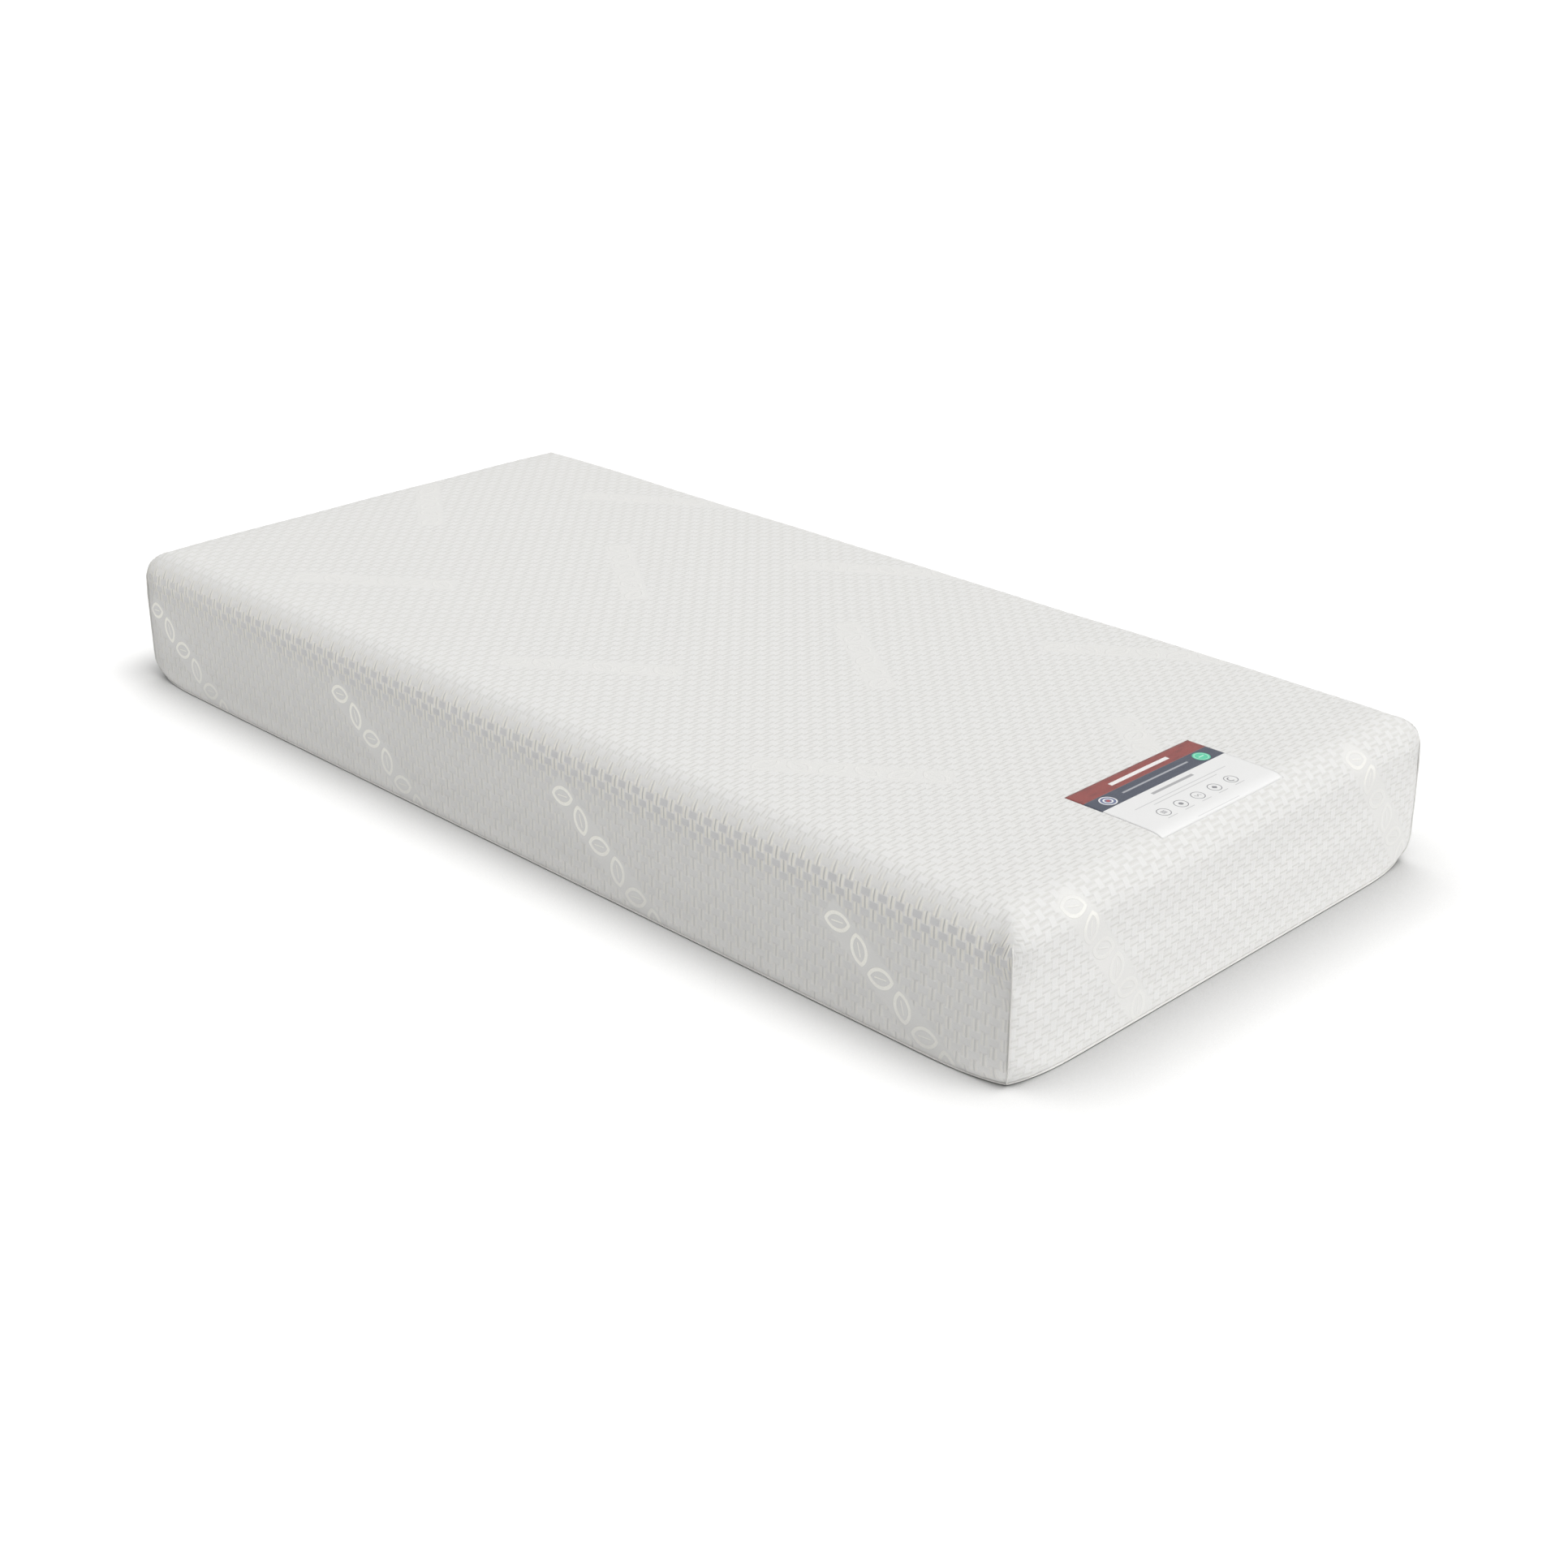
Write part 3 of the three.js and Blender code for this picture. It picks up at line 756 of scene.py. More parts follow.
# Plain rules on the label, in place of its title and its lines of text: middle (from the label's
# middle, down from its upper edge), half sizes, softness, strength and colour.
LABEL_RULES = (
    ((2, 17.0), (62, 3.6), 0.6, 0.92, (0.84, 0.83, 0.83)),
    ((2, 44.0), (70, 1.7), 0.5, 0.55, (0.60, 0.61, 0.64)),
    ((0, 73.0), (44, 2.6), 0.5, 0.60, INK),
    ((-1, 87.5), (98, 0.8), 0.4, 0.32, INK),
    ((-1, 95.0), (68, 0.8), 0.4, 0.32, INK),
    ((-6, 151.5), (45, 0.6), 0.4, 0.22, INK),
)
BAND_EDGES = (30.5, 61.5)  # the red band ends here, and the navy band under it
ROUNDEL_DOWN = 46.0
RED_ROUNDEL_X = -101.0
GREEN_ROUNDEL_X = 100.0
ICON_DOWN = 117.0
ICON_FIRST_X = -77.0
ICON_PITCH = 36.3


def label_material():
    """The printed satin label: bands, plain rules and blank roundels, with no words or marks."""
    surface = Surface("label_print", PAPER, 0.45, Sheen_Weight=0.1)
    across, along, _ = surface.coordinates("print")
    x = across - float(LABEL_LOW[0] + LABEL_HIGH[0]) / 2
    down = float(LABEL_HIGH[1]) - along
    grain = surface.noise(14.0, 4.0, (0.5, 1.6, 1))
    red_end, navy_end = BAND_EDGES
    red_band = down.ramp(red_end + 0.3, red_end - 0.3)
    navy_band = down.ramp(navy_end + 0.3, navy_end - 0.3) * (1 - red_band)
    surface.paint(red_band, (0.27, 0.058, 0.052))
    surface.paint(red_band * grain.ramp(0.45, 0.75) * 0.55, (0.13, 0.035, 0.035))
    surface.paint(navy_band, (0.058, 0.068, 0.10))
    surface.paint(navy_band * grain.ramp(0.5, 0.8) * 0.5, (0.10, 0.11, 0.14))
    for (middle, rule_down), half_sizes, soft, strength, colour in LABEL_RULES:
        rule = patch(x - middle, down - rule_down, *half_sizes, soft)
        surface.paint(rule * strength, colour)

    # Roundels: a ringed one at the left and a plain green one at the right.
    dx, dy = x - RED_ROUNDEL_X, down - ROUNDEL_DOWN
    surface.paint(disc(dx, dy, 12.5), (0.75, 0.75, 0.76))
    surface.paint(disc(dx, dy, 10.5), (0.12, 0.15, 0.28))
    surface.paint(ring(dx, dy, 6.0, 2.4), (0.75, 0.75, 0.76))
    surface.paint(disc(dx, dy, 3.0), (0.42, 0.08, 0.09))
    dx = x - GREEN_ROUNDEL_X
    surface.paint(disc(dx, dy, 12.5), (0.09, 0.58, 0.36))
    surface.paint(ring(dx, dy, 9.8, 0.8), (0.55, 0.80, 0.68))
    surface.paint(patch(dx, dy, 5.5, 0.9) * 0.8, (0.65, 0.86, 0.76))
    for number in range(5):
        paint_icon(surface, x - (ICON_FIRST_X + ICON_PITCH * number), down - ICON_DOWN, number)
    threads = along.sine(2 * math.pi / 0.7) * across.sine(2 * math.pi / 0.7)
    surface.paint(surface.noise(1.5, 2.0).ramp(0.4, 0.7) * 0.06, tuple(c * 0.8 for c in PAPER))
    return surface.finish(threads, 0.05)


def paint_icon(surface, x, y, number):
    """One plain sign in a ring with a rule below: stacked rules, a dot, a wave, a diamond or an arc."""
    if number == 0:
        sign = abs(y.near(2.6)).ramp(0.9, 0.5) * patch(x, y, 4.0, 4.2)
    elif number == 1:
        sign = disc(x, y, 3.6)
    elif number == 2:
        sign = abs(y + x.sine(0.9) * 1.6).ramp(1.0, 0.5) * patch(x, y, 5.5, 4.0)
    elif number == 3:
        sign = (abs(x) + abs(y)).ramp(5.0, 4.4)
    else:
        sign = ring(x, y, 4.6, 2.0) * x.ramp(1.6, 1.0)
    surface.paint(ring(x, y, 9.6, 1.2) * 0.9, INK)
    surface.paint(patch(x, y - 14.5, 10, 0.7, 0.4) * 0.35, INK)
    surface.paint(sign * 0.8, INK)


KNIT = knit_material()
BASE_CLOTH = woven_material("base_cloth", (0.60, 0.595, 0.58), (0.42, 0.415, 0.40), 2.4)
TAPE_CLOTH = woven_material("zip_tape", (0.74, 0.735, 0.72), (0.50, 0.495, 0.48), 1.2)
SATIN = woven_material("care_satin", (0.80, 0.80, 0.79), (0.66, 0.66, 0.65), 0.5, 0.5, 0.06)
STOCKINETTE = woven_material("stockinette", (0.80, 0.79, 0.77), (0.62, 0.61, 0.58), 1.6)
SEAM_CLOTH = woven_material("seam_cloth", (0.80, 0.79, 0.77), (0.55, 0.545, 0.53), 0.9)
THREAD = thread_material("thread", (0.76, 0.75, 0.73))
MEMORY_FOAM = foam_material("memory_foam", (0.84, 0.76, 0.55), (0.66, 0.57, 0.38), 1.6)
SUPPORT_FOAM = foam_material("support_foam", (0.66, 0.75, 0.84), (0.47, 0.56, 0.66), 2.4)
METAL = metal_material()
NYLON = nylon_material()
PRINT = label_material()

# ------------------------------------------------------------------ the cover

MESH_STEP = KNIT_PITCH / 4
SEAM_REACH = 70.0  # the grid leaves the knit's repeat this far from a corner seam
SEAM_LINES = (5.5, 3.4, 1.8, 0.8, 0.0)  # how far from a corner seam its last lines are
BASE_ROWS = (12.0, 8.5, 6.0, 4.3, 3.3)  # heights of the rows round the base edge
CAGE_STRIDE = 4
CLOTH_FRAMES = 20
CLOTH_SETTINGS = {
    "quality": 5,
    "mass": 0.3,
    "tension_stiffness": 60,
    "compression_stiffness": 60,
    "shear_stiffness": 30,
    "bending_stiffness": 4,
    "use_pressure": True,
    "uniform_pressure_force": 4.0,
    "vertex_group_mass": "held",
}
CLOTH_CAP = 1.5  # the foam fills the cover, which can hardly swell away from it
STRETCH_DEPTH = 70.0  # the knit's slant near the corners fades out over this depth
TURNED_EDGE = ((0.5, 0.15), (1.0, 0.9), (1.0, 2.6))  # into the zip's window, and back behind it
ZIP_SIDE = 2  # the zip side's place among the cover's sheets, with the top first


def mesh_lines(edge, marks=()):
    """Grid lines from -edge to edge: on the knit's repeat in the middle, finer at the seams."""
    middle = math.floor((edge - SEAM_REACH) / MESH_STEP) * MESH_STEP
    count = round((edge - SEAM_LINES[0] - middle) / MESH_STEP)
    outer = np.linspace(middle, edge - SEAM_LINES[0], count + 1)[1:]
    inner = np.arange(0, middle + 1, MESH_STEP)
    half = np.concatenate([inner, outer, edge - np.array(SEAM_LINES[1:])])
    for mark in marks:
        half[np.argmin(np.abs(half - mark))] = mark
    return np.concatenate([-half[:0:-1], half])


def border_heights():
    """Heights of the border's rows, from just under its top down to the base seam."""
    rows = np.arange(BORDER_TOP - MESH_STEP, 50, -MESH_STEP)
    window = ZIP_HEIGHT + WINDOW_HALF_HEIGHT * np.array([1.0, 4 / 7, 0.0, -4 / 7, -1.0])
    return np.concatenate([rows, window, BASE_ROWS])


LINES_P = mesh_lines(EDGE_P)
LINES_Q = mesh_lines(EDGE_Q, marks=(WINDOW_HALF_LENGTH,))
HEIGHTS = border_heights()


def cover_sheets(lines_p, lines_q, heights):
    """The cover's five sheets: points, and cloth coordinates (across, along, depth).

    The depth runs from 0 to 1 over the top edge, and from there on it is 1 and the millimetres below.
    """
    p, q = np.meshgrid(lines_p, lines_q, indexing="ij")
    past_edge = np.maximum(np.abs(p) - FLAT_X, np.abs(q) - FLAT_Y)
    sheets = [(top_points(p, q), points_at(p, q, np.clip(past_edge / EDGE_ARC, 0, 1)))]
    rows = np.concatenate([[BORDER_TOP], heights])
    depth = (BORDER_TOP - rows)[:, None]
    settled = smooth_step(depth, 0, STRETCH_DEPTH)
    for side, (plane, along, gap, place) in enumerate(border_columns(lines_p, lines_q)):
        run = along * (1 - settled) + place * settled
        down = (depth + (EDGE_Q, EDGE_P)[side % 2]) * (-1, 1, 1, -1)[side]
        pair = (down, run) if side % 2 else (run, down)
        sheets.append((border_points(plane, gap, rows), points_at(*pair, 1 + depth)))
    return sheets


def stitch_sheets(sheets):
    """Joins the five sheets' points into one list, and returns their point-number grids too."""
    top = numbered(sheets[0].shape[:2])
    rims = [top[:, 0], top[-1, :], top[::-1, -1], top[0, ::-1]]
    rows = np.arange(len(sheets[1]) - 1)[:, None]
    loop = sum(len(rim) - 1 for rim in rims)
    grids = [top]
    first = 0
    for rim in rims:
        columns = (first + np.arange(len(rim))) % loop
        grids.append(np.concatenate([rim[None, :], top.size + rows * loop + columns], axis=0))
        first += len(rim) - 1
    around = np.concatenate([sheet[1:, :-1] for sheet in sheets[1:]], axis=1)
    return np.concatenate([sheets[0].reshape(-1, 3), around.reshape(-1, 3)]), grids


def cage_lines(lines):
    """The cover's grid lines at the cage's stride, counted from the middle, and the outermost."""
    half = lines[lines >= 0]
    kept = np.unique(np.append(half[::CAGE_STRIDE], half[-1]))
    return np.concatenate([-kept[:0:-1], kept])


def blow_up(points, faces, held_points):
    """A cloth, blown up from inside while the held points stay: how far each point moves."""
    mesh = bpy.data.meshes.new("cage")
    mesh.from_pydata((points * MM).tolist(), [], faces.tolist())
    cage = link_object("cage", mesh)
    cage.vertex_groups.new(name="held").add(held_points.tolist(), 1.0, "REPLACE")
    cloth = cage.modifiers.new("cloth", "CLOTH")
    for setting, value in CLOTH_SETTINGS.items():
        setattr(cloth.settings, setting, value)
    cloth.settings.effector_weights.gravity = 0
    cloth.point_cache.frame_end = CLOTH_FRAMES
    for number in range(1, CLOTH_FRAMES + 1):
        bpy.context.scene.frame_set(number)
    blown = cage.evaluated_get(bpy.context.evaluated_depsgraph_get()).data
    places = np.zeros(len(points) * 3)
    blown.vertices.foreach_get("co", places)
    bpy.context.scene.frame_set(1)
    bpy.data.objects.remove(cage)
    bpy.data.meshes.remove(mesh)
    return places.reshape(-1, 3) / MM - points


def simulate_cage():
    """The cover's movement on a coarse cage that is held at its base, its zip and its corner seams."""
    lines_p, lines_q = cage_lines(LINES_P), cage_lines(LINES_Q)
    heights = np.append(HEIGHTS[3:-1:CAGE_STRIDE], HEIGHTS[-1])
    points, grids = stitch_sheets([sheet for sheet, _ in cover_sheets(lines_p, lines_q, heights)])
    moved = np.zeros_like(points)
    faces = np.concatenate([grid_faces(grid) for grid in grids])
    held = points[:, 2] < ZIP_HEIGHT + WINDOW_HALF_HEIGHT + 4
    for grid in grids[1:]:
        held[grid[1:, 0]] = True
    moved = blow_up(points, faces, np.nonzero(held)[0])
    length = np.maximum(np.linalg.norm(moved, axis=1, keepdims=True), 1e-6)
    moved *= CLOTH_CAP * np.tanh(length / CLOTH_CAP) / length
    lines = {"p": lines_p, "q": lines_q, "down": -np.append(BORDER_TOP, heights)}
    return lines, [moved[grid] for grid in grids]


CAGE, CAGE_MOVED = simulate_cage()


def spread(values, coarse, fine):
    """Values given on coarse lines (the first axis), read off smoothly at fine ones."""
    start = np.clip(np.searchsorted(coarse, fine, side="right") - 1, 0, len(coarse) - 2)
    tail = (-1,) + (1,) * (values.ndim - 1)
    width = (coarse[start + 1] - coarse[start]).reshape(tail)
    share = (fine - coarse[start]).reshape(tail) / width
    slope = np.gradient(values, coarse, axis=0)
    a, b = values[start], values[start + 1]
    slope_a, slope_b = slope[start] * width, slope[start + 1] * width
    cubic = share * (2 * (a - b) + slope_a + slope_b) + 3 * (b - a) - 2 * slope_a - slope_b
    return a + share * (slope_a + share * cubic)


def spread_both(values, coarse, fine):
    """The same along both axes of a grid."""
    rows = spread(values, coarse[0], fine[0])
    return spread(rows.swapaxes(0, 1), coarse[1], fine[1]).swapaxes(0, 1)


def top_movement(lines_p, lines_q):
    """The simulated movement of the top sheet on a grid of its coordinates."""
    return spread_both(CAGE_MOVED[0], (CAGE["p"], CAGE["q"]), (lines_p, lines_q))


def cloth_movement():
    """The simulated movement of each of the cover's five sheets."""
    sheets = [top_movement(LINES_P, LINES_Q)]
    down = -np.append(BORDER_TOP, HEIGHTS)
    for side, moved in enumerate(CAGE_MOVED[1:]):
        coarse, fine = ((CAGE["p"], LINES_P), (CAGE["q"], LINES_Q))[side % 2]
        sheets.append(spread_both(moved, (CAGE["down"], coarse), (down, fine)))
    return sheets


def on_cover(lines_p, lines_q):
    """Points of the finished cover's top sheet and their outward directions, for what lies on it."""
    p, q = np.meshgrid(lines_p, lines_q, indexing="ij")
    step = 0.5
    run_p = top_points(p + step, q) - top_points(p - step, q)
    run_q = top_points(p, q + step) - top_points(p, q - step)
    outward = unit(np.cross(run_p, run_q))
    return swell(top_points(p, q), outward, top_movement(lines_p, lines_q)), outward


def window_quads(grid, points):
    """Which quads of the zip side lie in the zip's window, and the window's outline."""
    middle = (points[grid[:-1, :-1]] + points[grid[1:, 1:]]) / 2
    inside = np.abs(middle[..., 2] - ZIP_HEIGHT) < WINDOW_HALF_HEIGHT
    inside &= np.abs(middle[..., 1]) < WINDOW_HALF_LENGTH
    rows, columns = np.nonzero(inside)
    r0, r1, c0, c1 = rows.min(), rows.max() + 1, columns.min(), columns.max() + 1
    edges = [grid[r0, c0:c1], grid[r0:r1, c1], grid[r1, c1:c0:-1], grid[r1:r0:-1, c0]]
    return inside, np.concatenate(edges)


def turned_edge(edge):
    """Rings of new points that turn the window's edge inwards."""
    along, up = edge[:, 1], edge[:, 2] - ZIP_HEIGHT
    at_end = np.abs(np.abs(along) - WINDOW_HALF_LENGTH) < 0.1
    at_side = np.abs(np.abs(up) - WINDOW_HALF_HEIGHT) < 0.1
    inwards = points_at(0, -np.sign(along) * at_end, -np.sign(up) * at_side)
    return [edge + inwards * into - (back, 0, 0) for into, back in TURNED_EDGE]


def seam_groove(points):
    """How deep the corner seams draw the cover in, by the distance from the corner's line."""
    past = np.abs(points[:, :2]) - (HALF_WIDTH - CORNER_RADIUS, HALF_LENGTH - CORNER_RADIUS)
    away = (past[:, 0] - past[:, 1]) / math.sqrt(2)
    depth = SEAM_GROOVE * np.exp(-((away / SEAM_GROOVE_WIDTH) ** 2)) * (past.min(axis=1) > 0)
    return depth * smooth_step(-points[:, 2], -SEAM_TOP - 6, -SEAM_TOP + 8)


def label_share(points):
    """0 under the product label, where the knit is pressed flat, and 1 elsewhere."""
    away = np.abs(points - (LABEL_LOW + LABEL_HIGH) / 2) - (LABEL_HIGH - LABEL_LOW) / 2
    inside = smooth_step(-away[:, 0], -3, 3) * smooth_step(-away[:, 1], -3, 3)
    return 1 - inside * (points[:, 2] > TOP / 2)


def make_cover():
    """The knit cover: one skin, with a window for the zip whose edge is turned in."""
    sheets = cover_sheets(LINES_P, LINES_Q, HEIGHTS)
    points, grids = stitch_sheets([sheet for sheet, _ in sheets])
    moved, _ = stitch_sheets(cloth_movement())
    inside, outline = window_quads(grids[ZIP_SIDE], points)
    all_faces, all_fields = [], []
    for number, (grid, (_, cloth)) in enumerate(zip(grids, sheets)):
        faces = grid_faces(grid)
        fields = cloth.reshape(-1, 3)[grid_faces(numbered(grid.shape))]
        keep = ~inside.ravel() if number == ZIP_SIDE else slice(None)
        all_faces.append(faces[keep])
        all_fields.append(fields[keep])
    faces = np.concatenate(all_faces)
    cloth_at = np.zeros_like(points)
    cloth_at[faces.ravel()] = np.concatenate(all_fields).reshape(-1, 3)

    outward = point_normals(points, faces)
    shaped = swell(points, outward, moved)
    calm = label_share(shaped) * smooth_step(points[:, 2], 3, 12)
    relief = knit_relief(cloth_at[:, 0], cloth_at[:, 1]) * calm
    shaped += outward * (relief - seam_groove(points))[:, None]

    previous = outline
    for ring_points in turned_edge(shaped[outline]):
        new = len(shaped) + np.arange(len(outline))
        shaped = np.concatenate([shaped, ring_points])
        strip = [previous, new, np.roll(new, -1), np.roll(previous, -1)]
        all_faces.append(np.stack(strip, axis=1))
        all_fields.append(np.repeat(cloth_at[outline][:, None, :], 4, axis=1))
        previous = new
    faces = np.concatenate(all_faces)
    used, compact = np.unique(faces, return_inverse=True)
    compact = compact.reshape(faces.shape)
    made = add_mesh("cover_knit", shaped[used], compact, KNIT, "knit_cover")
    set_corner_field(made, "cloth", np.concatenate(all_fields).reshape(-1, 3))
    return made, shaped, grids


cover, cover_points, cover_grids = make_cover()

# ------------------------------------------------------------------ seams and the underside

TOP_EDGE_LINES = int((LINES_P > FLAT_X).sum())


def make_corner_seam(side, label):
    """A narrow sewn ridge in the groove of a corner, with its stitches."""
    top = cover_grids[0]
    quarter = (top, top[::-1], top[::-1, ::-1], top[:, ::-1])[side]
    over_edge = np.diagonal(quarter)[1:TOP_EDGE_LINES][::-1]
    path = cover_points[np.concatenate([over_edge, cover_grids[side + 1][:, 0]])]
    path = path[(path[:, 2] < SEAM_TOP) & (path[:, 2] > SEAM_FOOT)]
    ahead = unit(np.gradient(path, axis=0))
    outward = np.sign(path) * (1, 1, 0)
    outward = unit(outward - ahead * (outward * ahead).sum(axis=1, keepdims=True))
    sunk = RIDGE_SINK * smooth_step(path[:, 2], SEAM_TOP - RIDGE_SINK_RUN, SEAM_TOP)[:, None]
    section = oval(RIDGE_RADIUS, RIDGE_RADIUS, lift=0.3)
    points, faces = swept(path + outward * (RIDGE_LIFT - sunk), outward, section)
    name = f"corner_seam_{label}"
    add_mesh(f"{name}_ridge", points, faces, SEAM_CLOTH, name)
    below = path[:, 2] < SEAM_TOP - RIDGE_STITCHES_END
    add_stitch_row(f"{name}_stitches", path[below], outward[below], RIDGE_STITCH_LIFT)


def add_stitch_row(name, path, outward, lift, pitch=3.6):
    """Stitches along a path, each standing as the nearest part of the path does."""
    origins = evenly(path, pitch)
    every = slice(None, None, max(1, len(path) // 200))
    away = np.linalg.norm(origins[:, None, :] - path[None, every, :], axis=2)
    out = outward[every][np.argmin(away, axis=1)]
    ahead = unit(np.gradient(origins, axis=0))
    axes = np.stack([ahead, np.cross(out, ahead), out], axis=1)
    points, faces = copies(*bead(*STITCH, rings=2), origins + out * lift, axes)
    return add_mesh(name, points, faces, THREAD)


def make_base_binding():
    """The bound seam between the borders and the base, once round. Returns its path."""
    path = cover_points[np.concatenate([grid[-1, :-1] for grid in cover_grids[1:]])]
    for _ in range(4):
        path = (np.roll(path, 1, axis=0) + 2 * path + np.roll(path, -1, axis=0)) / 4
    path[:, 2] = BINDING_HEIGHT
    outward = np.concatenate([plane[:-1, 2:4] for plane, *_ in border_columns(LINES_P, LINES_Q)])
    outward = at_height(outward, 0.0)
    section = oval(*BINDING_HALF_SIZES, steps=10)
    points, faces = swept(path + outward * BINDING_OUT, outward, section, closed=True)
    add_mesh("base_binding", points, faces, SEAM_CLOTH, "base_seam_binding")
    return path


def ring_towards(outline, middle, share, height):
    """An outline drawn in by a share of the way to a middle one, at a height."""
    return at_height(outline[:, :2] * (1 - share) + middle * share, height)


def make_base_panel(rim):
    """The underside: it lies flat on the floor and turns up to the binding at its edge."""
    middle = np.array(PANEL_MIDDLE)
    inner = np.clip(rim[:, :2], -middle, middle)
    profile = [*PANEL_EDGE, *((share, PANEL_HEIGHT) for share in np.linspace(0.09, 1, 25))]
    rings = [ring_towards(rim, inner, share, height) for share, height in profile]
    points, faces = tube(rings, caps=(False, True))
    return add_mesh("base_cloth", points, faces, BASE_CLOTH, "base_panel", smooth=False)


for corner_side, corner_label in enumerate(CORNERS):
    make_corner_seam(corner_side, corner_label)
base_panel = make_base_panel(make_base_binding())

# ------------------------------------------------------------------ labels


def make_product_label():
    """The printed label, which follows the cover over the start of the foot edge."""
    x = np.linspace(LABEL_LOW[0], LABEL_HIGH[0], 67)
    past_edge = -FLAT_Y - LABEL_LOW[1]
    foot_q = -FLAT_Y - TOP_EDGE_RADIUS * math.asin(past_edge / TOP_EDGE_RADIUS)
    y = np.linspace(foot_q, LABEL_HIGH[1], 41)
    p, q = np.meshgrid(x, y, indexing="ij")
    on_knit, outward = on_cover(x, y)
    rim = np.minimum.reduce([p - x[0], x[-1] - p, q - y[0], y[-1] - q])
    lift = (LABEL_TOP_LIFT - LABEL_EDGE_DROP * np.exp(-((rim / 2.0) ** 2)))[..., None]
    back = on_knit + outward * LABEL_BACK_LIFT
    points, faces = two_sided(on_knit + outward * lift, back)
    label = add_mesh("product_label_print", points, faces, PRINT, "product_label")
    print_at = np.tile(np.stack([p, q], axis=-1).reshape(-1, 2), (2, 1))
    set_corner_field(label, "print", print_at[faces.ravel()])


def make_care_label():
    """A blank satin tag sewn to the head border by its upper edge, its lower end lifting a little."""
    low, high = box_of("care_label")
    x = np.linspace(low[0], high[0], 13)
    across, up = np.meshgrid(x, np.linspace(low[2], high[2], 21), indexing="ij")
    free = (high[2] - up) / (high[2] - low[2])
    wave = TAG_WAVE * np.sin((across - low[0]) / 9.0) * free
    y = HALF_LENGTH + TAG_GAP + TAG_LIFT * free**2 + wave
    half = TAG_HALF_THICKNESS
    front, back = (points_at(across, y + away, up) for away in (half, -half))
    points, faces = two_sided(back, front)
    tag = add_mesh("care_tag", points, faces, SATIN, "care_label")
    path = points_at(x, y[0, -1] + 0.3, high[2] - 2.5)
    outward = points_at(0.0 * x, 1.0, 0.0)
    stitches = add_stitch_row("care_tag_stitches", path, outward, 0.1, pitch=3.2)


make_product_label()
make_care_label()

# ------------------------------------------------------------------ the zip


def make_tape(label, side):
    """A woven tape with a thicker corded edge beside the teeth."""
    low, high = box_of(f"zip_tape_{label}")
    edge = low[2] if side > 0 else high[2]
    width = high[2] - low[2]
    profile = [*CORD_PROFILE, (width, 0.55), (width, 0.0)]
    across, out = np.array(profile).T
    y = np.arange(low[1], high[1] + 1, (high[1] - low[1]) / 200)
    rings = points_at(low[0] + out, y[:, None], edge + side * across)
    points, faces = tube(rings[::side])
    name = f"zip_tape_{label}"
    tape = add_mesh(f"tape_{label}", points, faces, TAPE_CLOTH, name, smooth=False)


def make_teeth(label, side):
    """A row of nylon teeth: slanting loops whose heads reach towards the other row."""
    low, high = box_of(f"zip_coil_{label}")
    first = low[1] + 1.5 + (TOOTH_PITCH / 2 if side > 0 else 0.0)
    y = np.arange(first, high[1] - 1, TOOTH_PITCH)
    middle, half = (low + high) / 2, (high - low) / 2
    origins = points_at(middle[0], y, middle[2])
    along = unit(np.array([0.0, TOOTH_SLANT, -side]))
    out = np.array([1.0, 0.0, 0.0])
    axes = np.tile(np.stack([along, np.cross(out, along), out]), (len(y), 1, 1))
    tooth = bead(half[2] + 0.02, TOOTH_HALF_WIDTH, half[0])
    points, faces = copies(*tooth, origins, axes)
    add_mesh(f"teeth_{label}", points, faces, NYLON, f"zip_coil_{label}")


def finish_metal(piece):
    """Plates a CAD metal part and rounds its edges slightly."""
    piece.data.materials.clear()
    piece.data.materials.append(METAL)
    bevel = piece.modifiers.new("rounded", "BEVEL")
    bevel.width = METAL_BEVEL * MM
    bevel.segments = 3
    bevel.limit_method = "ANGLE"
    bevel.angle_limit = math.radians(40)


def add_window_stitches(label, side):
    """A row of topstitching beside the window."""
    y = np.linspace(-WINDOW_HALF_LENGTH + 2, WINDOW_HALF_LENGTH - 2, 120)
    height = ZIP_HEIGHT + side * (WINDOW_HALF_HEIGHT + 2.2)
    path = points_at(HALF_WIDTH, y, height)
    outward = points_at(1.0, 0.0 * y, 0.0)
    add_stitch_row(f"window_stitches_{label}", path, outward, WINDOW_STITCH_LIFT)


for half_label, half_side in HALVES:
    make_tape(half_label, half_side)
    make_teeth(half_label, half_side)
for metal_part in METAL_PARTS:
    finish_metal(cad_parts[f"zip_{metal_part}"])
for half_label, half_side in HALVES:
    add_window_stitches(half_label, half_side)

# ------------------------------------------------------------------ what is inside


def rounded_outline(half_x, half_y, radius, side_steps=24, corner_steps=6):
    """A closed rounded rectangle, once round from the foot end, with the same points at any size."""
    arc = np.linspace(0, math.pi / 2, corner_steps + 1)[1:-1]
    sides = []
    for turn, (cosine, sine) in enumerate(((1, 0), (0, 1), (-1, 0), (0, -1))):
        long, short = ((half_x, half_y), (half_y, half_x))[turn % 2]
        run = np.linspace(radius - long, long - radius, side_steps)
        along = np.concatenate([run, long - radius + radius * np.sin(arc)])
        away = np.concatenate([np.full_like(run, -short), radius - short - radius * np.cos(arc)])
        sides.append(np.column_stack([along * cosine - away * sine, along * sine + away * cosine]))
    return np.concatenate(sides)


